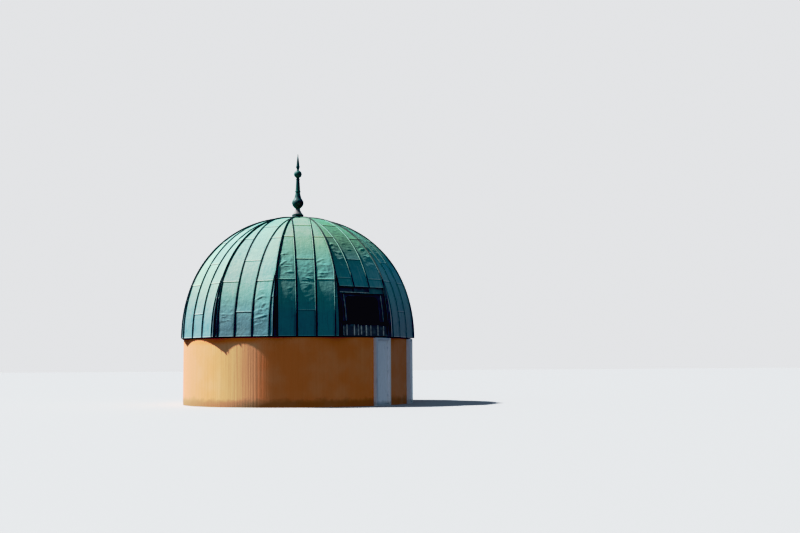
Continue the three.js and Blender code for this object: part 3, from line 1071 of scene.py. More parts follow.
class Palette:
    """Every material of the object, made once."""

    def __init__(self) -> None:
        """Makes the materials."""
        shared = Effects()
        self.sheet = PatinaSheet("patina sheet", specular=0.2).material(shared)
        self.seam = SeamCopper("seam copper", specular=0.2).material(shared)
        # The hip seams are darker than the other seams: their dark copper together with painted shade for
        # their shadows.
        dark = SeamCopper("hip copper", specular=0.2, side=(0.07, 0.095, 0.085),
                          low_side=(0.11, 0.14, 0.16), head=(0.035, 0.05, 0.05),
                          low_head=(0.05, 0.065, 0.08))
        slate = replace(dark, name="slate hip copper", low_side=(0.1, 0.13, 0.17),
                        low_head=(0.14, 0.22, 0.32))
        # Painted highlight: the hip beside the hatch is near white low down, as a lit line in the shade.
        pale = replace(dark, name="pale hip copper", low_side=(0.8, 0.76, 0.79), low_head=(0.9, 0.85, 0.87))
        self.hips = {index: kind.material(shared) for index, kind in ((0, slate), (2, pale), (None, dark))}
        hatch = DarkCopper("hatch copper", specular=0.25, brown=(0.2, 0.185, 0.18),
                           green=(0.26, 0.32, 0.32), share=0.4, scale=3.0)
        frame = replace(hatch, name="frame copper", brown=(0.17, 0.15, 0.15), green=(0.2, 0.21, 0.22))
        apron = replace(hatch, name="apron copper", brown=(0.225, 0.195, 0.185),
                        green=(0.28, 0.31, 0.31), scale=5.0)
        # Painted highlights: the tracks are pale, as thin lit lines in the dark frame.
        track = replace(hatch, name="track copper", brown=(0.32, 0.32, 0.32), green=(0.48, 0.52, 0.48),
                        share=0.5, scale=8.0)
        header = replace(hatch, name="header copper", brown=(0.22, 0.3, 0.29), green=(0.27, 0.38, 0.36))
        # Painted highlights: the drip roll and the apron's ribs are pale, as if catching the light.
        roll = DarkCopper("pale roll copper", specular=0.4, brown=(0.35, 0.39, 0.37),
                          green=(0.62, 0.72, 0.65), share=0.7, scale=14.0)
        rib = replace(roll, name="pale rib copper", brown=(0.5, 0.5, 0.47), green=(0.82, 0.88, 0.82))
        finial = DarkCopper("finial copper", specular=0.3, brown=(0.05, 0.095, 0.09),
                            green=(0.045, 0.16, 0.13), share=0.6, scale=4.0)
        lead = DarkCopper("finial lead", specular=0.15, brown=(0.16, 0.14, 0.14),
                          green=(0.3, 0.27, 0.27), share=0.8, scale=7.0)
        coppers = (hatch, frame, apron, track, header, roll, rib, finial, lead)
        made = [finish.material(shared) for finish in coppers]
        self.hatch, self.frame, self.apron, self.track, self.header = made[:5]
        self.roll, self.rib, self.finial, self.lead = made[5:]
        self.render = CombedRender("combed render", specular=0.08).material(shared)
        # The casing's white is greyer than the leaf's, as painted shade on its faces, and its further jamb
        # is painted pale as a painted highlight.
        casing = OilPaint("casing paint", coat=0.08, white=(0.77, 0.8, 0.85))
        self.casings = {
            name: replace(casing, name=f"{name} casing paint", turn=turn).material(shared)
            for name, turn in DOOR_TURNS.items()
        }
        self.leaf = OilPaint("leaf paint", specular=0.6, coat=0.08, white=(0.97, 0.99, 1.0),
                             worn=(0.7, 0.74, 0.8)).material(shared)
        self.boards = WeatheredTimber("dome boards", early=(0.5, 0.4, 0.34),
                                      late=(0.36, 0.28, 0.24)).material(shared)
        self.timber = WeatheredTimber("plate timber", stretch=(3.0, 3.0, 30.0)).material(shared)
        self.concrete = Concrete("floor concrete").material(shared)


# The dome


@dataclass
class DomePart:
    """A sub-assembly of the dome.

    Attributes:
        form: The dome's curve.
        palette: The materials.
    """

    form: DomeForm
    palette: Palette


@dataclass(frozen=True)
class Crease:
    """A sharp wrinkle in a copper sheet.

    Attributes:
        gore: Index of the gore, counted from the front gore.
        across: Place of its middle across the gore.
        height: Height of its middle above the eave.
        lean: Its slope, in degrees from the level.
        length: Its length.
        depth: How far it stands out.
        width: Half its width.
    """

    gore: int
    across: float
    height: float
    lean: float
    length: float
    depth: float = 0.011
    width: float = 0.024

    def relief(self, across: Array, height: Array) -> Array:
        """How far the sheet stands out.

        Args:
            across: Places across the gore.
            height: Heights above the eave.

        Returns:
            The distances.
        """
        lean = math.radians(self.lean)
        along = (across - self.across) * math.cos(lean) + (height - self.height) * math.sin(lean)
        seam_stain_and_shade = (height - self.height) * math.cos(lean) - (across - self.across) * math.sin(lean)
        seam_stain_and_shade = seam_stain_and_shade + 0.25 * along**2 / self.length
        reach = 1.0 - soft_step(np.abs(along), 0.25 * self.length, 0.5 * self.length)
        return self.depth * np.exp(-((seam_stain_and_shade / self.width) ** 2)) * reach


@dataclass(frozen=True)
class BeatenPatch:
    """A patch of a gore where the sheets are full of wrinkles.

    Attributes:
        gore: Index of the gore, counted from the front gore.
        across: Place of its middle across the gore.
        height: Height of its middle above the eave.
        wide: Half its width.
        tall: Half its height.
    """

    gore: int
    across: float
    height: float
    wide: float
    tall: float

    def share(self, across: Array, height: Array) -> Array:
        """How much of the beating each point has, from 0 to 1.

        Args:
            across: Places across the gore.
            height: Heights above the eave.

        Returns:
            The shares.
        """
        reach = np.hypot((across - self.across) / self.wide, (height - self.height) / self.tall)
        return 1.0 - soft_step(reach, 0.55, 1.15)


@dataclass(frozen=True)
class SheetColumn:
    """Copper sheets one above the other between two seams.

    Attributes:
        left: The seam on the left, across the gore, or minus infinity for the hip.
        right: The seam on the right, or infinity for the hip.
        foot: Height above the eave of its lowest edge.
        laps: Heights above the eave where one sheet ends and the next begins.
    """

    left: float
    right: float
    foot: float
    laps: tuple[float, ...]


@dataclass
class CopperCladding(DomePart):
    """The copper on one gore: sheets, standing seams and the hip seam.

    Attributes:
        index: The gore, counted from the front gore.
        foot: Height above the eave where the full width of copper begins.
        outer_seam: The outer seams' distance from the gore's middle line.
        inner_seam: The inner seams' distance.
        top_apothem: Where the sheets end, under the finial's flange.
        row_step: Greatest distance between two rows of points.
        column_step: Greatest distance between two columns of points.
        back_offset: The sheets' back from the curve.
        face_offset: Their face from the curve.
        lap_lift: How far a sheet's foot stands out over the sheet below.
        lap_reach: How far up the sheet that fades.
        overlap: How far a sheet's head is tucked under the next.
        upturn: How far the edges turn up at the seams.
        pinch: Least width of a sheet's head.
        seam_half: From a seam's middle to the sheets beside it.
        hip_thickness: Thickness of the hip seams.
        hip_height: Their height.
        hip_growth: How much taller they are near the apex.
        seam_height: Height of the other seams.
        pale_strips: Gore and side of the strips that stay pale, with little of the painted shade.
        creases: Sharp wrinkles of the dome.
        beaten: Beaten patches of the dome.
    """

    index: int
    foot: float = 0.0
    outer_seam: float = 0.915
    inner_seam: float = 0.305
    top_apothem: float = 0.13
    row_step: float = 0.021
    column_step: float = 0.036
    back_offset: float = 0.002
    face_offset: float = 0.010
    lap_lift: float = 0.009
    lap_reach: float = 0.22
    overlap: float = 0.03
    upturn: float = 0.006
    pinch: float = 0.035
    seam_half: float = 0.008
    hip_thickness: float = 0.022
    hip_height: float = 0.04
    hip_growth: float = 0.014
    seam_height: float = 0.038
    pale_strips: tuple[tuple[int, int], ...] = ((0, 1), (-1, 1), (-2, -1), (-3, 1))
    creases: tuple[Crease, ...] = ()
    beaten: tuple[BeatenPatch, ...] = ()

    def columns(self) -> list[SheetColumn]:
        """The columns of sheets, with slightly different laps on each gore.

        Returns:
            The three wide columns, then the narrow strips beside the hips, which run to the eave.
        """
        drift = 0.05 * math.sin(0.9 * self.index + 0.1)
        outer = tuple(lap + drift for lap in (1.775, 3.24))
        middle = tuple(lap + drift for lap in (0.80, 2.455, 3.69))
        if self.foot:
            outer, middle = (1.85, 3.25), (2.49, 3.73)
        inner, edge, foot = self.inner_seam, self.outer_seam, self.foot
        return [
            SheetColumn(-edge, -inner, foot, outer), SheetColumn(-inner, inner, foot, middle),
            SheetColumn(inner, edge, foot, outer), SheetColumn(-math.inf, -edge, 0.0, (1.22,)),
            SheetColumn(edge, math.inf, 0.0, (1.22,)),
        ]

    def edges(self, column: SheetColumn, apothem: Array) -> tuple[Array, Array]:
        """Left and right edges of a column of sheets.

        Args:
            column: The column.
            apothem: The curve's apothem at each row.

        Returns:
            The edges' places across the gore.
        """
        hip = apothem * self.form.slope()
        left = np.maximum(column.left + self.seam_half, -hip + self.hip_thickness + 0.001)
        right = np.minimum(column.right - self.seam_half, hip - 0.001)
        return left, right

    def top_sweep(self, column: SheetColumn) -> float:
        """Sweep where a column ends: at the flange, or where the hips pinch it out.

        Args:
            column: The column.

        Returns:
            The sweep.
        """
        if column.left < 0 < column.right:
            return self.form.sweep_at_apothem(self.top_apothem)
        nearest = min(abs(column.left), abs(column.right))
        return self.form.sweep_at_apothem((nearest + self.pinch) / self.form.slope())

    def add_sheets(self, draft: Draft, column: SheetColumn, seed: int) -> None:
        """Adds a column's sheets.

        Args:
            draft: Gathers the piece.
            column: The column.
            seed: Chooses the dints.
        """
        form, foot, top = self.form, column.foot, self.top_sweep(column)
        laps = [lap for lap in column.laps if lap > foot + 0.2 and form.sweep_at(lap) < top - 0.03]
        sweeps = [*map(form.sweep_at, (foot, *laps)), top]
        for number, (low, high) in enumerate(zip(sweeps, sweeps[1:])):
            self._add_sheet(draft, column, low, high, number == len(laps), seed * 11 + number)

    def _add_sheet(
        self, draft: Draft, column: SheetColumn, low: float, high: float, last: bool, seed: int
    ) -> None:
        """Adds one sheet.

        Args:
            draft: Gathers the piece.
            column: Its column.
            low: Sweep of its foot.
            high: Sweep of the next sheet's foot, or of its own head where it is the last.
            last: Whether it is the top one.
            seed: Chooses the dints and the tone.
        """
        form = self.form
        sweeps, rises = form.even_sweeps(low, high, self.row_step)
        length = rises[-1]
        tuck = 0.0 if last else self.overlap
        near = np.array([0.0, 0.004, 0.012, 0.02, 0.026])
        inner = np.arange(1, max(2, math.ceil(length / self.row_step))) / math.ceil(length / self.row_step)
        rows = np.unique(np.concatenate([near, inner * length, length - near[::-1], [length + tuck]]))
        rows = rows[np.concatenate([[True], np.diff(rows) > 0.003])]
        sweep = np.interp(rows, rises, sweeps)
        sweep = sweep + np.maximum(0.0, rows - length) * (sweeps[-1] - sweeps[-2]) / (rises[-1] - rises[-2])
        apothem, height = form.curve(sweep)
        left, right = self.edges(column, apothem)
        widest = float((right - left).max())
        if widest < 0.02:
            return
        edge = np.array([0.0, 0.004, 0.010, 0.018]) / widest
        count = max(2, math.ceil(widest / self.column_step))
        shares = np.concatenate([edge, np.arange(1, count) / count, 1.0 - edge[::-1]])
        shares = np.unique(np.clip(shares, 0.0, 1.0))
        across = left[:, None] + (right - left)[:, None] * shares
        rim = np.minimum(across - left[:, None], right[:, None] - across)
        foot = rows[:, None]
        head = length - foot

        lift = self.lap_lift * (1.0 - soft_step(rows, 0.0, self.lap_reach))
        hem = 0.004 * np.exp(-(((rows - 0.013) / 0.011) ** 2))
        offset = self.face_offset + (lift + hem)[:, None] + self._dints(across, foot, height, seed) * (
            soft_step(rim, 0.008, 0.07) * soft_step(foot, 0.02, 0.08) * soft_step(head, 0.0, 0.06)
        )
        offset = offset + self.upturn * (1.0 - soft_step(rim, 0.0, 0.011)) * soft_step(head, -0.005, 0.03)
        front_apothem, front_height = form.curve(sweep[:, None], offset)
        turn = form.turn(self.index)
        front = set_out(turn, across, front_apothem, front_height)
        back_apothem, back_height = form.curve(sweep, self.back_offset + lift)
        back = set_out(turn, np.stack([left, right], 1), back_apothem[:, None], back_height[:, None])
        room = np.clip((right - left)[:, None] / 0.34, 0.3, 1.0)
        values = {
            "rim": rim / room, "foot": foot, "head": np.maximum(head, 0.0),
            "tone": np.random.default_rng(1000 + seed).random(), "across": across,
            "rightward": right[:, None] - across < across - left[:, None],
            "strip": self._strip_share(column), "rise": foot + low * 4.0,
        }
        draft.add_sheet(front, back, values)

    def _strip_share(self, column: SheetColumn) -> float:
        """How dark a column runs, in dark copper and painted shade: only the strips beside the hips do, and
        a few of them stay pale.

        Args:
            column: The column.

        Returns:
            The share of dark, from 0 to 1.
        """
        if math.isfinite(column.left) and math.isfinite(column.right):
            return 0.0
        side = 1 if math.isinf(column.right) else -1
        return 0.2 if (self.index, side) in self.pale_strips else 1.0

    def _dints(self, across: Array, rise: Array, height: Array, seed: int) -> Array:
        """Waves, dints and creases of a sheet.

        Args:
            across: Places across the gore.
            rise: Distances up the sheet.
            height: Heights above the ground, one to a row.
            seed: Chooses the pattern.

        Returns:
            How far each point stands out or in.
        """
        above = (height - self.form.eave_height)[:, None]
        patch = 0.35 * soft_step(lattice_noise(across / 0.5, rise / 0.55, seed + 7), -0.3, 0.6)
        for beaten in self.beaten:
            if beaten.gore == self.index:
                patch = np.maximum(patch, beaten.share(across, above))
        waves = 0.0026 * lattice_noise(across / 0.42, rise / 0.36, seed)
        sway = lattice_noise(across / 0.3, rise / 0.3, seed + 43)
        dints = 0.0045 * lattice_noise(across / 0.15 + 3.0, rise / 0.085 + 0.4 * sway, seed + 101)
        valley = lattice_noise(across / 0.19 + 0.6 * sway, rise / 0.105 + 0.8 * sway, seed + 211)
        ridge = 1.0 - np.abs(valley)
        relief = waves + dints * (0.2 + 0.8 * patch) + 0.0095 * patch * ridge**5
        for crease in self.creases:
            if crease.gore == self.index:
                relief = relief + crease.relief(across, above)
        return np.clip(relief, -0.0065, 0.021)

    def add_seam(self, draft: Draft, across: float, foot: float) -> None:
        """Adds a standing seam, folded over at its top.

        Args:
            draft: Gathers the piece.
            across: Its place across the gore.
            foot: Height above the eave where it starts.
        """
        form = self.form
        top = form.sweep_at_apothem((abs(across) + 0.02) / form.slope())
        sweeps, rises = form.even_sweeps(form.sweep_at(foot), top, 0.09)
        high = self.seam_height
        web, fold = -0.0045, -0.0075
        x, out = mirrored([
            (web, -0.002), (web, high - 0.015), (fold, high - 0.012), (fold, high - 0.003), (web, high),
        ]).T
        sway = 0.0016 * lattice_noise(rises / 0.5, np.full_like(rises, across * 9.0), self.index + 31)
        wobble = 0.0016 * lattice_noise(rises / 0.33, np.full_like(rises, across * 5.0), self.index + 57)
        apothem, height = form.curve(sweeps[:, None], out + wobble[:, None] * (out > 0.01))
        sections = set_out(form.turn(self.index), across + sway[:, None] + x, apothem, height)
        draft.add_bar(sections, {"crown": out / high, "lee_shade": x > 0.0})

    def add_hip(self, draft: Draft) -> None:
        """Adds the tall seam on the gore's left hip, from the eave to the finial.

        Args:
            draft: Gathers the piece.
        """
        form = self.form
        sweeps, rises = form.even_sweeps(0.0, form.sweep_at_apothem(0.24), 0.09)
        wide, high = self.hip_thickness, self.hip_height
        x, out = np.array([
            (0.0, -0.004), (0.0, high - 0.006), (0.0018, high - 0.0018), (0.006, high),
            (wide - 0.006, high), (wide - 0.0018, high - 0.0018), (wide, high - 0.006),
            (wide, high - 0.022), (wide - 0.004, high - 0.026), (wide - 0.004, -0.004),
        ]).T
        _, level = form.curve(sweeps)
        wobble = 0.0025 * lattice_noise(rises / 0.4, np.full_like(rises, 2.5), self.index + 83)
        taller = wobble + self.hip_growth * soft_step(level, 3.4, 4.8)
        apothem, height = form.curve(sweeps[:, None], out + taller[:, None] * (out > 0.005))
        sections = set_out(form.turn(self.index), x + FIT / 2 - apothem * form.slope(), apothem, height)
        draft.add_bar(sections, {"crown": out / high})

    def build(self, number: str) -> None:
        """Makes the sheets and the seams.

        Args:
            number: The gore's number in the pieces' names.
        """
        sheets, seams, hip, hips = Draft(), Draft(), Draft(), self.palette.hips
        for place, column in enumerate(self.columns(), 1):
            self.add_sheets(sheets, column, self.index * 7 + place)
        sheets.finish(f"copper_sheets_{number}", self.palette.sheet, slot=Slot.PATINA, sharp=28.0)
        for across, foot in ((self.inner_seam, self.foot), (self.outer_seam, 0.0)):
            self.add_seam(seams, -across, foot)
            self.add_seam(seams, across, foot)
        seams.finish(f"copper_seams_{number}", self.palette.seam)
        self.add_hip(hip)
        hip.finish(f"hip_seam_{number}", hips.get(self.index, hips[None]))


@dataclass
class BoardedShell:
    """The boarded shell under the copper, one closed piece to each gore.

    Attributes:
        form: The dome's curve.
        thickness: Boards and ribs together.
        start: Height above the eave where the shell begins, behind the skirt.
        skirt: Thickness of the skirt at the eave.
        board: Width of a board.
        groove: Depth of the groove between two boards.
        apex_hole: Apothem of the hole at the apex.
    """

    form: DomeForm
    thickness: float = 0.1
    start: float = 0.05
    skirt: float = 0.02
    board: float = 0.145
    groove: float = 0.006
    apex_hole: float = 0.11

    def profile(self, low: float, high: float | None) -> Array:
        """Outline of the shell from its outer face round to its inner boards.

        Args:
            low: Height above the eave of its foot.
            high: Height of its head, or None at the apex.

        Returns:
            The apothems, and the heights.
        """
        form = self.form
        top = form.sweep_at_apothem(self.apex_hole) if high is None else form.sweep_at(high)
        outer, _ = form.even_sweeps(form.sweep_at(low), top, 0.12)
        sweeps, _ = form.even_sweeps(form.sweep_at(max(low, self.start)), top, self.board)
        lip = 0.06 * np.diff(sweeps)
        boards = np.stack([sweeps[:-1], sweeps[:-1] + lip, sweeps[1:] - lip], axis=1)
        depth = np.append(np.tile([self.groove, 0.0, 0.0], len(lip)), 0.0) - self.thickness
        inner = np.stack(form.curve(np.append(boards, sweeps[-1]), depth))[:, ::-1]
        outline = [np.stack(form.curve(outer)), inner]
        if low < self.start:
            face, eave = form.eave_apothem - self.skirt, form.eave_height
            outline.append(np.array([(face, face), (eave + self.start, eave + low)]))
        return np.concatenate(outline, axis=1)

    def add(
        self, draft: Draft, turn: float, low: float, high: float | None,
        left: Callable[[Array], Array], right: Callable[[Array], Array],
    ) -> None:
        """Adds one length of shell.

        Args:
            draft: Gathers the piece.
            turn: The gore's turn.
            low: Height above the eave of its foot.
            high: Height of its head, or None at the apex.
            left: Its left edge at an apothem.
            right: Its right edge.
        """
        apothem, height = self.profile(low, high)
        draft.add_bar(np.stack([set_out(turn, edge(apothem), apothem, height) for edge in (left, right)]))

    def hip(self, side: int) -> Callable[[Array], Array]:
        """Edge on a hip, -1 for the left one and 1 for the right one."""
        slope = self.form.slope()
        return lambda apothem: side * (apothem * slope - FIT / 2)


@dataclass
class Hatch(DomePart):
    """The viewing hatch: header band, frame with round corners, tracks, sill and apron.

    Attributes:
        index: The hatch's gore, counted from the front gore.
        zone_half: Half the hatch's width, as wide as three sheets.
        sill: Height of the sill above the eave.
        head: Height of the opening's head.
        header_top: Height of the header band's top.
        header_recess: How far the header lies behind the curve.
        header_thickness: The header panels' thickness.
        seam: The header seams' distance from the middle line.
        apron_recess: How far the apron lies behind the curve.
        apron_thickness: Its thickness.
        skirt_height: Height up to which it is thin, to hang clear in front of the wall plate.
        skirt_thickness: Its thickness there.
        ribs: Place and width of the apron's ribs.
        frame_offsets: Back and face of the frame from the curve.
        frame_margins: Width of the frame's uprights and of its head.
        corner: Radius of its upper corners.
        jamb_width: Width of the jambs at its sides.
        jamb_depth: Their depth.
        jamb_set_back: How far they lie behind the eave's line.
        sill_thickness: The sill's thickness.
        sill_nose: How far the sill stands out.
    """

    index: int = 1
    zone_half: float = 0.915
    sill: float = 0.4
    head: float = 1.39
    header_top: float = 1.585
    header_recess: float = 0.035
    header_thickness: float = 0.055
    seam: float = 0.305
    apron_recess: float = 0.012
    apron_thickness: float = 0.08
    skirt_height: float = 0.05
    skirt_thickness: float = 0.013
    ribs: tuple[Pair, ...] = (
        (-0.86, 0.018), (-0.73, 0.02), (-0.44, 0.032), (-0.28, 0.014), (-0.16, 0.03), (0.035, 0.04),
        (0.215, 0.016), (0.5, 0.022), (0.73, 0.02),
    )
    frame_offsets: Pair = (-0.12, -0.07)
    frame_margins: Pair = (0.17, 0.1)
    corner: float = 0.14
    jamb_width: float = 0.115
    jamb_depth: float = 0.26
    jamb_set_back: float = 0.025
    sill_thickness: float = 0.045
    sill_nose: float = 0.03

    def turn(self) -> float:
        """The hatch's turn."""
        return self.form.turn(self.index)

    def map(self, across: Array, height: Array, offset: Array | float) -> Array:
        """Points on or off the curve.

        Args:
            across: Places across the gore.
            height: Heights above the eave on the curve.
            offset: Distances outside the curve.

        Returns:
            The points.
        """
        sweep = np.arcsin(np.clip(height / self.form.rise, 0.0, 1.0) ** (self.form.power / 2))
        apothem, level = self.form.curve(sweep, offset)
        return set_out(self.turn(), across, apothem, level)

    def panel(
        self, draft: Draft, sides: Pair, heights: Pair, face: float, thickness: float, dints: int,
        skirt: float = 0.0,
    ) -> None:
        """Adds a curved panel with slightly uneven face.

        Args:
            draft: Gathers the piece.
            sides: Left and right edges across the gore.
            heights: Foot and head above the eave.
            face: Offset of its face from the curve.
            thickness: Its thickness.
            dints: Chooses its unevenness.
            skirt: Height up to which it is thin.
        """
        rows = spaced(heights, 0.03)
        if skirt:
            rows = np.sort(np.append(rows, (skirt, skirt + 0.002)))
        depth = np.where(rows <= skirt, self.skirt_thickness, thickness)
        across, height = np.meshgrid(spaced(sides, 0.05), rows)
        rim = np.minimum(across - sides[0], sides[1] - across)
        uneven = 0.003 * lattice_noise(across / 0.2, height / 0.13, dints) * soft_step(rim, 0.0, 0.04)
        roll = 0.004 * (1.0 - soft_step(np.minimum(height - heights[0], heights[1] - height), 0.0, 0.012))
        front = self.map(across, height, face + uneven + roll)
        back = self.map(np.array([sides] * len(rows)), rows[:, None], face - depth[:, None])
        draft.add_sheet(front, back, {})

    def upright(
        self, draft: Draft, across: float, heights: Pair, width: float, offsets: Pair
    ) -> None:
        """Adds a rounded upright rib that follows the curve.

        Args:
            draft: Gathers the piece.
            across: Its middle across the gore.
            heights: Foot and head above the eave.
            width: Its width.
            offsets: Its root and its crown from the curve.
        """
        low, high = offsets
        ease = min(0.35 * width, 0.6 * (high - low))
        edge, bend = -width / 2, 0.3 * ease
        side = [(edge, low), (edge, high - ease), (edge + bend, high - bend), (edge + ease, high)]
        x, offset = mirrored(side).T
        draft.add_bar(self.map(across + x, spaced(heights, 0.08)[:, None], offset))

    def build(self) -> None:
        """Makes the header, the frame, the tracks, the sill and the apron."""
        self._build_header()
        self._build_frame()
        self._build_sill()
        self._build_apron()

    def _build_header(self) -> None:
        """Makes the dark band over the opening, in three panels with seams, and its roll."""
        edge, seam, half_gap = self.zone_half - 0.003, self.seam, 0.004
        low, high = self.head + 0.002, self.header_top - 0.004
        face = -self.header_recess - 0.005
        header, greener = Draft(), Draft()
        panels = (
            (header, (-edge, -seam - half_gap)), (header, (half_gap - seam, seam - half_gap)),
            (greener, (seam + half_gap, edge)),
        )
        for dints, (draft, sides) in enumerate(panels, 40):
            self.panel(draft, sides, (low, high), face, self.header_thickness, dints)
        for across in (-seam, seam):
            self.upright(header, across, (low + 0.004, high), 0.014, (-0.09, -0.004))
        header.finish("header_panels", self.palette.hatch, ["hatch_header"])
        greener.finish("header_panel_right", self.palette.header)
        # The pale roll is a painted highlight, and it stops at the right-hand seam, where the lit line
        # ends.
        roll, radius = Draft(), 0.016
        angles = np.linspace(0.0, 2.0 * math.pi, 10, endpoint=False)
        heights = self.head + 0.017 + radius * np.sin(angles)
        offsets = 0.012 - self.header_recess + radius * np.cos(angles)
        roll.add_bar(self.map(np.linspace(-edge, seam, 12)[:, None], heights, offsets))
        roll.finish("header_drip_roll", self.palette.roll)

    def _build_frame(self) -> None:
        """Makes the frame inside the opening, with round upper corners, and its tracks."""
        half = self.zone_half - self.jamb_width - 0.001
        low, high = self.sill + self.sill_thickness + 0.003, self.head - 0.002
        margin, head_margin = self.frame_margins
        outer = self._rounded((-half, half), (low, high), 0.0)
        inner = self._rounded((margin - half, half - margin), (low + 0.02, high - head_margin), self.corner)
        back, front = self.frame_offsets
        loops = ((outer, back), (outer, front), (inner, front), (inner, back))
        frame = Draft()
        frame.add_ring(np.stack([self.map(*loop.T, offset) for loop, offset in loops], axis=1))
        frame.finish("hatch_frame", self.palette.frame)
        tracks = Draft()
        root = front + 0.0005
        for across, width, crown in ((-0.715, 0.05, -0.042), (0.775, 0.04, -0.035)):
            self.upright(tracks, across, (low + 0.02, high - 0.03), width, (root, crown))
        tracks.finish("hatch_tracks", self.palette.track)

    def _rounded(self, sides: Pair, heights: Pair, corner: float) -> Array:
        """Outline with round upper corners, always of as many points.

        Args:
            sides: Left and right edges.
            heights: Foot and head.
            corner: Radius of the upper corners.

        Returns:
            Points of across and height, round from the lower left corner.
        """
        (left, right), (low, high) = sides, heights
        shoulder, start, end = high - corner, left + corner, right - corner
        angles = np.linspace(math.pi, 0.0, 15)
        bend = corner * np.stack([np.cos(angles), np.sin(angles)], axis=1)
        points = np.concatenate([
            np.linspace((left, low), (left, shoulder), 9),
            (start, shoulder) + bend[1:8],
            np.linspace((start, high), (end, high), 7)[1:],
            (end, shoulder) + bend[8:],
            np.linspace((right, shoulder), (right, low), 9)[1:],
            np.linspace((right, low), (left, low), 7)[1:-1],
        ])
        if corner == 0.0:
            apart = np.arange(1, 8) * 1e-4
            points[9:16, 0] += apart
            points[22:29, 1] -= apart
        return points

    def _build_sill(self) -> None:
        """Makes the timber sill with eased edges."""
        back = self.form.eave_apothem - self.jamb_set_back - self.jamb_depth
        apothem, _ = self.form.curve(np.array(self.form.sweep_at(self.sill)))
        face = float(apothem) + self.sill_nose
        low = self.form.eave_height + self.sill + 0.0005
        edge = self.zone_half - 0.0005
        board = Draft()
        turn = Matrix.Rotation(math.radians(self.turn()), 4, "Z")
        board.add_board((-edge, -face, low), (edge, -back, low + self.sill_thickness - 0.001), 0.006, turn)
        board.finish("sill_board", self.palette.timber, ["hatch_sill"], Slot.TIMBER)

    def _build_apron(self) -> None:
        """Makes the low panel under the sill and the upright ribs on it, pale as a painted highlight."""
        apron = Draft()
        edge, face = self.zone_half - 0.003, -self.apron_recess - 0.006
        heights = (0.002, self.sill - 0.004)
        self.panel(apron, (-edge, edge), heights, face, self.apron_thickness, 61, self.skirt_height)
        apron.finish("apron_panel", self.palette.apron, ["hatch_apron"])
        ribs = Draft()
        chance = np.random.default_rng(12)
        for across, width in self.ribs:
            foot = 0.02 + 0.03 * chance.random()
            head = self.sill - 0.012 - 0.05 * chance.random()
            self.upright(ribs, across, (foot, head), width, (-0.02, 0.002 + 0.3 * width))
        ribs.finish("apron_ribs", self.palette.rib)


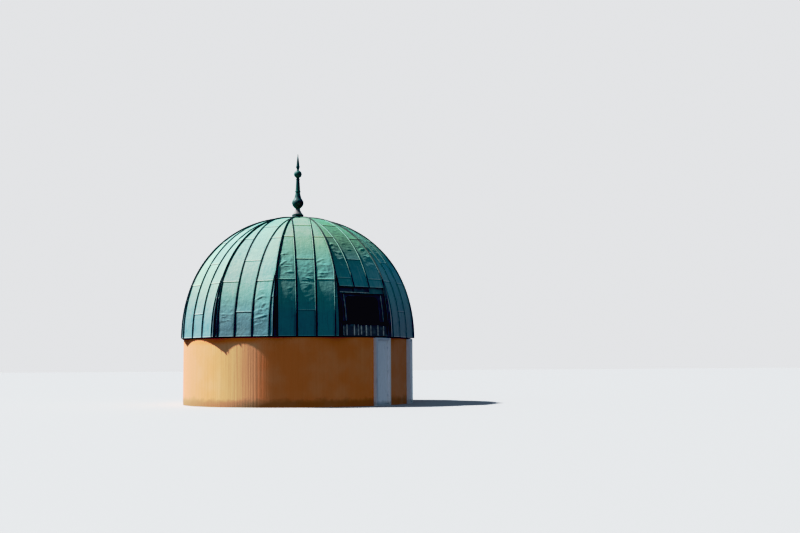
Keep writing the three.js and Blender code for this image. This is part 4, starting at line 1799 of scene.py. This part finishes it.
@dataclass
class Finial(DomePart):
    """The turned finial: flange and neck, bulb, shaft with collar, ball and spike.

    Attributes:
        sides: Faces round it.
    """

    sides: int = 56

    def turned(
        self, name: str, node: str, pairs: Sequence[Pair], steps: int, material: Material
    ) -> None:
        """Makes one turned piece.

        Args:
            name: The piece's name.
            node: The node that it stands for.
            pairs: Radius and height above the eave, from the bottom up. A pair given twice is a
                sharp edge.
            steps: Lengths of curve between two pairs.
            material: Its material.
        """
        runs: list[list[Pair]] = [[]]
        for pair, after in zip(pairs, [*pairs[1:], None]):
            runs[-1].append(pair)
            if pair == after:
                runs.append([])
        parts = [smooth_line(run, steps) if len(run) > 2 else np.array(run) for run in runs if len(run) > 1]
        profile = np.concatenate([part if i == 0 else part[1:] for i, part in enumerate(parts)])
        profile[:, 1] += self.form.eave_height
        piece = Draft()
        piece.add_turned(profile, self.sides)
        piece.finish(name, material, [node], sharp=40.0)

    def build(self) -> None:
        """Makes the five pieces, and the cone on the flange."""
        _, height = self.form.curve(np.array(self.form.sweep_at_apothem(0.11)))
        seat = float(height) - self.form.eave_height + 0.0005
        foot = seat + 0.0135
        base = [
            (0.106, seat - 0.088), (0.106, foot), (0.106, foot), (0.224, foot), (0.224, foot),
            (0.218, foot + 0.012), (0.198, 4.25), (0.185, 4.284), (0.185, 4.284), (0.199, 4.2845),
            (0.199, 4.2845), (0.1995, 4.29), (0.1995, 4.313), (0.194, 4.319), (0.194, 4.319), (0.1, 4.3195),
        ]
        self.turned("finial_flange", "finial_base", base, 4, self.palette.finial)
        cone = [(0.164, 4.3205), (0.164, 4.338), (0.128, 4.398), (0.090, 4.468), (0.074, 4.511)]
        self.turned("finial_cone", "finial_base", cone, 4, self.palette.lead)
        bulb = [
            (0.073, 4.513), (0.083, 4.520), (0.083, 4.534), (0.076, 4.540), (0.076, 4.540), (0.130, 4.580),
            (0.172, 4.638), (0.195, 4.695), (0.1985, 4.745), (0.185, 4.798), (0.152, 4.850),
            (0.120, 4.910), (0.102, 4.972), (0.087, 5.050), (0.079, 5.111),
        ]
        self.turned("finial_onion", "finial_bulb", bulb, 4, self.palette.finial)
        shaft = [
            (0.080, 5.1125), (0.093, 5.116), (0.0955, 5.130), (0.093, 5.145), (0.082, 5.149),
            (0.082, 5.149), (0.079, 5.176), (0.072, 5.26), (0.064, 5.41), (0.057, 5.55), (0.057, 5.55),
            (0.066, 5.558), (0.066, 5.572), (0.055, 5.580), (0.055, 5.580), (0.051, 5.602), (0.050, 5.617),
        ]
        self.turned("finial_stem", "finial_shaft", shaft, 3, self.palette.finial)
        ball = self._ball(5.6185, 5.8775, 5.746, 0.1375)
        self.turned("finial_globe", "finial_ball", ball, 1, self.palette.finial)
        spike = [
            (0.038, 5.879), (0.043, 5.890), (0.036, 5.912), (0.050, 5.955), (0.062, 5.992),
            (0.061, 6.022), (0.053, 6.06), (0.037, 6.19), (0.020, 6.34), (0.006, 6.4525),
        ]
        self.turned("finial_spire", "finial_spike", spike, 4, self.palette.finial)

    @staticmethod
    def _ball(low: float, high: float, middle: float, radius: float) -> list[Pair]:
        """Profile of a ball cut flat at both ends, with a raised joint round its middle.

        Args:
            low: Height of its foot.
            high: Height of its head.
            middle: Height of its middle.
            radius: Its radius over the joint.

        Returns:
            Radius and height pairs.
        """
        profile, raised = [], 0.004
        for share in np.linspace(0.0, 1.0, 33):
            height = low + (high - low) * (1.0 - math.cos(math.pi * share)) / 2
            bulge = math.sqrt(max(0.0, (radius - raised) ** 2 - (height - middle) ** 2))
            joint = raised * math.exp(-(((height - middle) / 0.006) ** 2))
            profile.append((bulge + joint, height))
        return profile


@dataclass
class Dome(DomePart):
    """The turning dome: shells, copper, hatch, ring and finial.

    Attributes:
        hatch_index: The hatch's gore, counted from the front gore.
        creases: Sharp wrinkles in its sheets.
        beaten: Patches where its sheets are full of wrinkles.
    """

    hatch_index: int = 1
    creases: tuple[Crease, ...] = tuple(Crease(*row) for row in (
        (-1, 0.52, 1.22, 24.0, 0.42), (-1, 0.63, 0.93, 62.0, 0.34), (-1, 0.60, 0.62, 14.0, 0.5),
        (-1, 0.72, 0.75, -50.0, 0.32), (-1, 0.50, 0.47, -12.0, 0.3, 0.008),
        (-1, 0.55, 1.45, 12.0, 0.3, 0.007), (0, -0.66, 2.62, 4.0, 0.34),
        (0, -0.72, 2.3, 38.0, 0.5, 0.016, 0.03), (0, -0.52, 2.3, -3.0, 0.3), (0, -0.52, 2.02, 6.0, 0.42),
        (0, 0.16, 2.0, 12.0, 0.3), (0, 0.14, 1.82, -14.0, 0.3), (0, 0.1, 1.62, 8.0, 0.34, 0.007),
        (0, -0.5, 1.5, 20.0, 0.2, 0.006), (0, 0.48, 2.42, 24.0, 0.36), (0, 0.7, 2.2, -62.0, 0.3),
        (0, 0.56, 2.0, 4.0, 0.42), (0, 0.5, 1.9, -6.0, 0.3, 0.008), (1, -0.62, 2.98, 18.0, 0.3),
        (1, -0.55, 2.72, -24.0, 0.3), (1, -0.45, 2.5, 16.0, 0.34), (1, 0.6, 2.9, 20.0, 0.3),
        (1, 0.62, 2.65, -14.0, 0.36), (1, 0.05, 2.85, 8.0, 0.3, 0.007),
    ))
    beaten: tuple[BeatenPatch, ...] = tuple(BeatenPatch(*row) for row in (
        (-1, 0.62, 0.85, 0.4, 0.75), (-1, -0.6, 0.6, 0.3, 0.4), (0, -0.62, 2.3, 0.36, 0.62),
        (0, 0.05, 1.9, 0.4, 0.55), (0, 0.6, 2.1, 0.34, 0.32), (1, -0.55, 2.75, 0.36, 0.55),
        (1, 0.6, 2.75, 0.36, 0.55), (1, 0.0, 3.2, 0.36, 0.5), (2, -0.55, 2.9, 0.4, 0.6),
        (2, 0.1, 3.2, 0.3, 0.4),
    ))

    def build(self, nodes: Objects) -> None:
        """Makes every piece of the dome.

        Args:
            nodes: The frame's nodes.
        """
        form, palette = self.form, self.palette
        shell = BoardedShell(form)
        hatch = Hatch(form, palette, self.hatch_index)
        for index in range(form.sides):
            number = f"{index + 1:02d}"
            gore = index if index <= form.sides // 2 else index - form.sides
            turn = form.turn(index)
            foot = hatch.header_top if index == self.hatch_index else 0.0
            copper = CopperCladding(form, palette, gore, foot, creases=self.creases, beaten=self.beaten)
            copper.build(number)
            boards = Draft()
            shell.add(boards, turn, foot, None, shell.hip(-1), shell.hip(1))
            stood_for = [f"gore_{number}"]
            if foot:
                zone = hatch.zone_half + FIT / 2
                shell.add(boards, turn, 0.0, foot - FIT, shell.hip(-1), lambda apothem: 0 * apothem - zone)
                shell.add(boards, turn, 0.0, foot - FIT, lambda apothem: 0 * apothem + zone, shell.hip(1))
                stood_for = ["gore_over_hatch", "hatch_strip_left", "hatch_strip_right"]
            boards.finish(f"boarded_gore_{number}", palette.boards, stood_for, Slot.PATINA)
        hatch.build()
        Finial(form, palette).build()
        dress(nodes["sole_ring"], palette.timber)
        for side in ("left", "right"):
            dress(nodes[f"hatch_jamb_{side}"], palette.frame)


def dress(node: bpy.types.Object, material: Material) -> None:
    """Gives a node of the frame its material."""
    node.data.materials.clear()
    node.data.materials.append(material)


# The drum


@dataclass
class DrumWall:
    """The round rendered wall, cut through at the two doors.

    Attributes:
        palette: The materials.
        radius: Its outer radius.
        thickness: Its thickness.
        height: Its height.
        door_turns: Turns of the doors' middles.
        notch_half: Half the width of the cut for a casing.
    """

    palette: Palette
    radius: float = 3.85
    thickness: float = 0.28
    height: float = 2.1695
    door_turns: tuple[float, ...] = tuple(DOOR_TURNS.values())
    notch_half: float = 0.353

    def build(self) -> None:
        """Makes the wall's two lengths as one piece."""
        wall = Draft()
        left, right = self.door_turns
        self._add_length(wall, left, right)
        self._add_length(wall, right, left + 360.0)
        nodes = ["wall_between_doors"] + [f"wall_segment_{number}" for number in range(1, 9)]
        wall.finish("rendered_wall", self.palette.render, nodes, Slot.RENDER, Body.DRUM, 50.0)

    def _edge(self, radius: float) -> float:
        """Half the turn that a casing's cut takes at a radius."""
        return math.degrees(math.asin(self.notch_half / radius))

    def _add_length(self, draft: Draft, start: float, end: float) -> None:
        """Adds the wall between two doors.

        Args:
            draft: Gathers the piece.
            start: Turn of the door at its beginning.
            end: Turn of the door at its end.
        """
        inner_radius = self.radius - self.thickness
        shares = np.linspace(0.0, 1.0, max(4, math.ceil((end - start) / 1.2)) + 1)
        outer, inner = (
            (start + edge + shares * (end - start - 2 * edge))[:, None]
            for edge in (self._edge(self.radius), self._edge(inner_radius))
        )
        height = np.linspace(0.0, self.height, 28)[None, :]
        along = np.radians(outer) * self.radius
        uneven = 0.004 * (lattice_noise(along / 0.9, height / 0.8, 5) - 1.0) / 2
        ease = soft_step(np.minimum(height, self.height - height), 0.0, 0.03) - 1.0
        front = set_out(outer, 0.0, self.radius + uneven + 0.006 * ease, height)
        draft.add_sheet(front, set_out(inner, 0.0, inner_radius, np.array([0.0, self.height])), {})


@dataclass
class Door:
    """A narrow door in a white casing that stands proud of the wall.

    Attributes:
        palette: The materials.
        name: Which door, as in the nodes' names.
        turn: Turn of its middle.
        hinge_side: -1 where the hinges are on the left, 1 on the right.
        body: The leaf's body.
        casing_half: Half the casing's width.
        casing_face: The casing's face from the dome's axis.
        casing_back: Its back from there.
        casing_height: Its height.
        board_width: Width of its jambs and head.
        threshold: Height of the threshold.
        leaf_thickness: The leaf's thickness.
        leaf_set_back: How far the leaf lies behind the casing's face.
        clearance: Gap round the leaf.
        pin_offset: How far the hinge pins stand in front of the leaf and in from its edge.
        knuckle_radius: Radius of the hinges' knuckles.
        knuckle_length: Length of one.
        hinge_heights: Feet of the hinges.
    """

    palette: Palette
    name: str
    turn: float
    hinge_side: int
    body: Body
    casing_half: float = 0.3525
    casing_face: float = 3.95
    casing_back: float = 3.6
    casing_height: float = 2.1697
    board_width: float = 0.075
    threshold: float = 0.05
    leaf_thickness: float = 0.045
    leaf_set_back: float = 0.07
    clearance: float = 0.005
    pin_offset: float = 0.012
    knuckle_radius: float = 0.011
    knuckle_length: float = 0.06
    hinge_heights: tuple[float, ...] = (0.3, 1.06, 1.82)

    def matrix(self) -> Matrix:
        """Turns a piece made at the front to the door's place."""
        return Matrix.Rotation(math.radians(self.turn), 4, "Z")

    def pin(self) -> Pair:
        """Place of the hinge pin before the door is turned."""
        x = self.hinge_side * (self.leaf_half() - self.pin_offset)
        return x, -(self.casing_face - self.leaf_set_back + self.pin_offset)

    def leaf_half(self) -> float:
        """Half the leaf's width."""
        return self.casing_half - self.board_width - self.clearance

    def build(self) -> None:
        """Makes the casing and the leaf."""
        self._build_casing()
        self._build_leaf()

    def _add_hinges(
        self, draft: Draft, shift: float, ends: Sequence[float], depths: Pair, round_edge: float
    ) -> None:
        """Adds one knuckle and one strap of every hinge.

        Args:
            draft: Gathers the piece.
            shift: How far up the hinge they are.
            ends: Ends of the straps, across.
            depths: Their faces and backs.
            round_edge: Width of the eased edges.
        """
        turned, radius, bevel = self.matrix(), self.knuckle_radius, 0.002
        centre = turned @ Vector((*self.pin(), 0.0))
        left, right = sorted(ends)
        for foot in self.hinge_heights:
            low = foot + shift
            high = low + self.knuckle_length - 0.0005
            inner = radius - bevel
            profile = [(inner, low), (radius, low + bevel), (radius, high - bevel), (inner, high)]
            draft.add_turned(np.array(profile), 20, (centre.x, centre.y))
            draft.add_board((left, depths[0], low), (right, depths[1], high - 0.0005), round_edge, turned)

    def _build_casing(self) -> None:
        """Makes the jambs, the head, the threshold and the hinges' fixed knuckles."""
        half, face, back = self.casing_half, self.casing_face, self.casing_back
        opening = half - self.board_width
        top = self.casing_height
        head = top - self.board_width
        casing = Draft()
        turned = self.matrix()
        lip = 0.0012
        boards = (
            ((-half, -face, 0.0), (-opening, -back, top), 0.004),
            ((opening, -face, 0.0), (half, -back, top), 0.004),
            ((lip - opening, 0.003 - face, head), (opening - lip, -back, top), 0.004),
            ((lip - opening, 0.006 - face, 0.0), (opening - lip, -back, self.threshold), 0.006),
        )
        for low, high, round_edge in boards:
            casing.add_board(low, high, round_edge, turned)
        (pin_x, pin_y), side = self.pin(), self.hinge_side
        ends = (pin_x + side * self.knuckle_radius * 0.7, side * opening)
        self._add_hinges(casing, 0.0, ends, (pin_y - 0.005, pin_y + 0.005), 0.001)
        name, paint = f"door_casing_{self.name}", self.palette.casings[self.name]
        casing.finish(name, paint, [f"casing_{self.name}"], Slot.PAINT, Body.DRUM)

    def _build_leaf(self) -> None:
        """Makes the leaf from upright boards with grooves, and its knuckles."""
        half = self.leaf_half()
        face = -(self.casing_face - self.leaf_set_back)
        low = self.threshold + self.clearance
        high = self.casing_height - self.board_width - self.clearance
        boards, groove = 5, 0.004
        width = 2 * half / boards
        outline: list[Pair] = []
        for board in range(boards):
            start = -half + board * width
            outline += [(start, face + groove), (start + groove, face), (start + width - groove, face)]
        back = face + self.leaf_thickness
        across, out = np.array([*outline, (half, face + groove), (half, back), (-half, back)]).T
        leaf = Draft()
        leaf.add_bar(np.stack([set_out(self.turn, across, -out, level) for level in (low, high)]))
        pin_x, pin_y = self.pin()
        ends = (pin_x - self.hinge_side * 0.002, pin_x - self.hinge_side * 0.03)
        shift = self.knuckle_length + 0.0005
        self._add_hinges(leaf, shift, ends, (pin_y + 0.004, face + 0.001), 0.0008)
        name, paint = f"door_leaf_{self.name}", self.palette.leaf
        leaf.finish(name, paint, [f"door_{self.name}"], Slot.PAINT, self.body, 20.0)


@dataclass
class Drum:
    """The round drum: wall, plate, floor and two doors.

    Attributes:
        palette: The materials.
    """

    palette: Palette

    def build(self, nodes: Objects) -> None:
        """Makes the drum's pieces and dresses the nodes that stay.

        Args:
            nodes: The frame's nodes.
        """
        DrumWall(self.palette).build()
        Door(self.palette, "left", DOOR_TURNS["left"], 1, Body.LEFT_DOOR).build()
        Door(self.palette, "right", DOOR_TURNS["right"], -1, Body.RIGHT_DOOR).build()
        for number in range(1, 5):
            dress(nodes[f"wall_plate_{number}"], self.palette.timber)
        dress(nodes["floor"], self.palette.concrete)


# Studio


@dataclass
class Studio:
    """Camera, sun, soft surroundings and a pale floor.

    Attributes:
        camera_place: Where the camera stands.
        yaw: Camera's turn to the right of +Y, in degrees.
        pitch: Its rise, in degrees.
        roll: Its roll, in degrees.
        lens: Focal length in millimetres on a 36 mm frame.
        sun_turn: Turn of the key light.
        sun_rise: Its rise above the level, in degrees.
        sun_power: Its strength.
        sun_spread: Its apparent width, in degrees.
        zenith: Ambient light from above.
        below: Ambient light from below.
        shaded: Tint of the low surroundings on the right.
        sky_gloss: What gloss shows of the sky.
        far_gloss: What it shows low behind the dome.
        backdrop: What the camera sees behind everything.
        floor_colour: The floor.
        black_level: Value that is shown black.
        white_level: Value that is shown white.
        tone: Points of the tone curve.
    """

    camera_place: tuple[float, float, float] = (0.0, -38.15, 1.3)
    yaw: float = 5.337
    pitch: float = 5.10
    roll: float = -0.34
    lens: float = 49.5
    sun_turn: float = -103.0
    sun_rise: float = 52.0
    sun_power: float = 8.4
    sun_spread: float = 2.0
    zenith: Colour = (0.22, 0.29, 0.37)
    below: Colour = (0.215, 0.235, 0.26)
    shaded: Colour = (0.52, 0.58, 0.62)
    sky_gloss: Colour = (0.45, 0.65, 0.95)
    far_gloss: Colour = (0.12, 0.16, 0.2)
    backdrop: Colour = (0.96, 0.975, 1.0)
    floor_colour: Colour = (0.44, 0.44, 0.435)
    black_level: float = 0.042
    white_level: float = 1.25
    tone: tuple[Pair, ...] = (
        (0.0, 0.0015), (0.05, 0.05), (0.12, 0.125), (0.2, 0.225), (0.3, 0.39), (0.4, 0.52), (0.55, 0.625),
        (0.75, 0.76), (1.0, 0.92),
    )

    def build(self) -> None:
        """Sets up the studio."""
        self._add_camera()
        self._add_sun()
        self._set_world()
        self._add_floor()
        view = bpy.context.scene.view_settings
        view.view_transform = "Standard"
        view.look = "None"
        view.use_curve_mapping = True
        mapping = view.curve_mapping
        mapping.extend = "HORIZONTAL"
        mapping.black_level = (self.black_level,) * 3
        mapping.white_level = (self.white_level,) * 3
        mapping.curves[2].points[0].location = (0.0, 0.0015)
        curve = mapping.curves[3]
        curve.points[0].location = self.tone[0]
        curve.points[1].location = self.tone[-1]
        for x, y in self.tone[1:-1]:
            curve.points.new(x, y)
        mapping.update()

    def _add_camera(self) -> None:
        """Adds the camera at the photograph's viewing angle."""
        data = bpy.data.cameras.new("camera")
        data.sensor_width = 36.0
        data.lens = self.lens
        data.clip_end = 500.0
        camera = add_object("camera", data)
        camera.location = self.camera_place
        camera.rotation_euler = Euler(map(math.radians, (90.0 + self.pitch, 0.0, -self.yaw)))
        camera.rotation_euler.rotate_axis("Z", math.radians(self.roll))
        bpy.context.scene.camera = camera

    def _add_sun(self) -> None:
        """Adds the key light, from the left and slightly behind."""
        data = bpy.data.lights.new("key", "SUN")
        data.energy = self.sun_power
        data.angle = math.radians(self.sun_spread)
        sun = add_object("key", data)
        sun.rotation_euler = Euler(map(math.radians, (90.0 - self.sun_rise, 0.0, self.sun_turn)))

    def _set_world(self) -> None:
        """Sets soft surroundings: faint for matt surfaces, brighter in gloss, pale behind."""
        world = bpy.data.worlds.new("studio")
        bpy.context.scene.world = world
        world.use_nodes = True
        wiring = Wiring(world.node_tree)
        background = find_node(world.node_tree, "BACKGROUND")
        direction = wiring.node("ShaderNodeTexCoord").outputs["Generated"]
        rightward, forward, upward = wiring.parts(direction)
        ambient = wiring.mix(wiring.ease(upward, -0.15, 0.5), self.below, self.zenith)
        side = wiring.times(wiring.ease(rightward, 0.3, 0.95), wiring.ease(upward, 0.2, 0.7, 1.0, 0.0))
        ray = wiring.node("ShaderNodeLightPath")
        far = wiring.times(wiring.ease(forward, 0.2, 0.8), wiring.ease(upward, 0.25, 0.6, 1.0, 0.0))
        gloss = wiring.mix(far, self.sky_gloss, self.far_gloss)
        colour = wiring.mix(ray.outputs["Is Glossy Ray"], ambient, gloss)
        colour = wiring.mix(side, colour, self.shaded, "MULTIPLY")
        colour = wiring.mix(ray.outputs["Is Camera Ray"], colour, self.backdrop)
        wiring.feed(background.inputs["Color"], colour)

    def _add_floor(self) -> None:
        """Adds the pale floor, which throws no light back on the object."""
        material = bpy.data.materials.new("pale floor")
        material.use_nodes = True
        inputs = find_node(material.node_tree, "BSDF_PRINCIPLED").inputs
        inputs["Base Color"].default_value = (*self.floor_colour, 1.0)
        inputs["Roughness"].default_value = 0.9
        inputs["Specular IOR Level"].default_value = 0.1
        mesh = bpy.data.meshes.new("studio_floor")
        reach = 220.0
        corners = [(x * reach, y * reach, 0.0) for x, y in ((-1, -1), (1, -1), (1, 1), (-1, 1))]
        mesh.from_pydata(corners, [], [(0, 1, 2, 3)])
        mesh.materials.append(material)
        floor = add_object("studio_floor", mesh)
        floor.visible_diffuse = False
        floor.visible_glossy = False


def main() -> None:
    """Builds the studio, the dome and the drum round the frame."""
    logging.basicConfig(level=logging.INFO, format="%(message)s")
    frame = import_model()
    Studio().build()
    palette = Palette()
    form = DomeForm()
    Drum(palette).build(frame["nodes"])
    Dome(form, palette).build(frame["nodes"])
    bpy.context.view_layer.update()


if __name__ == "__main__":
    main()
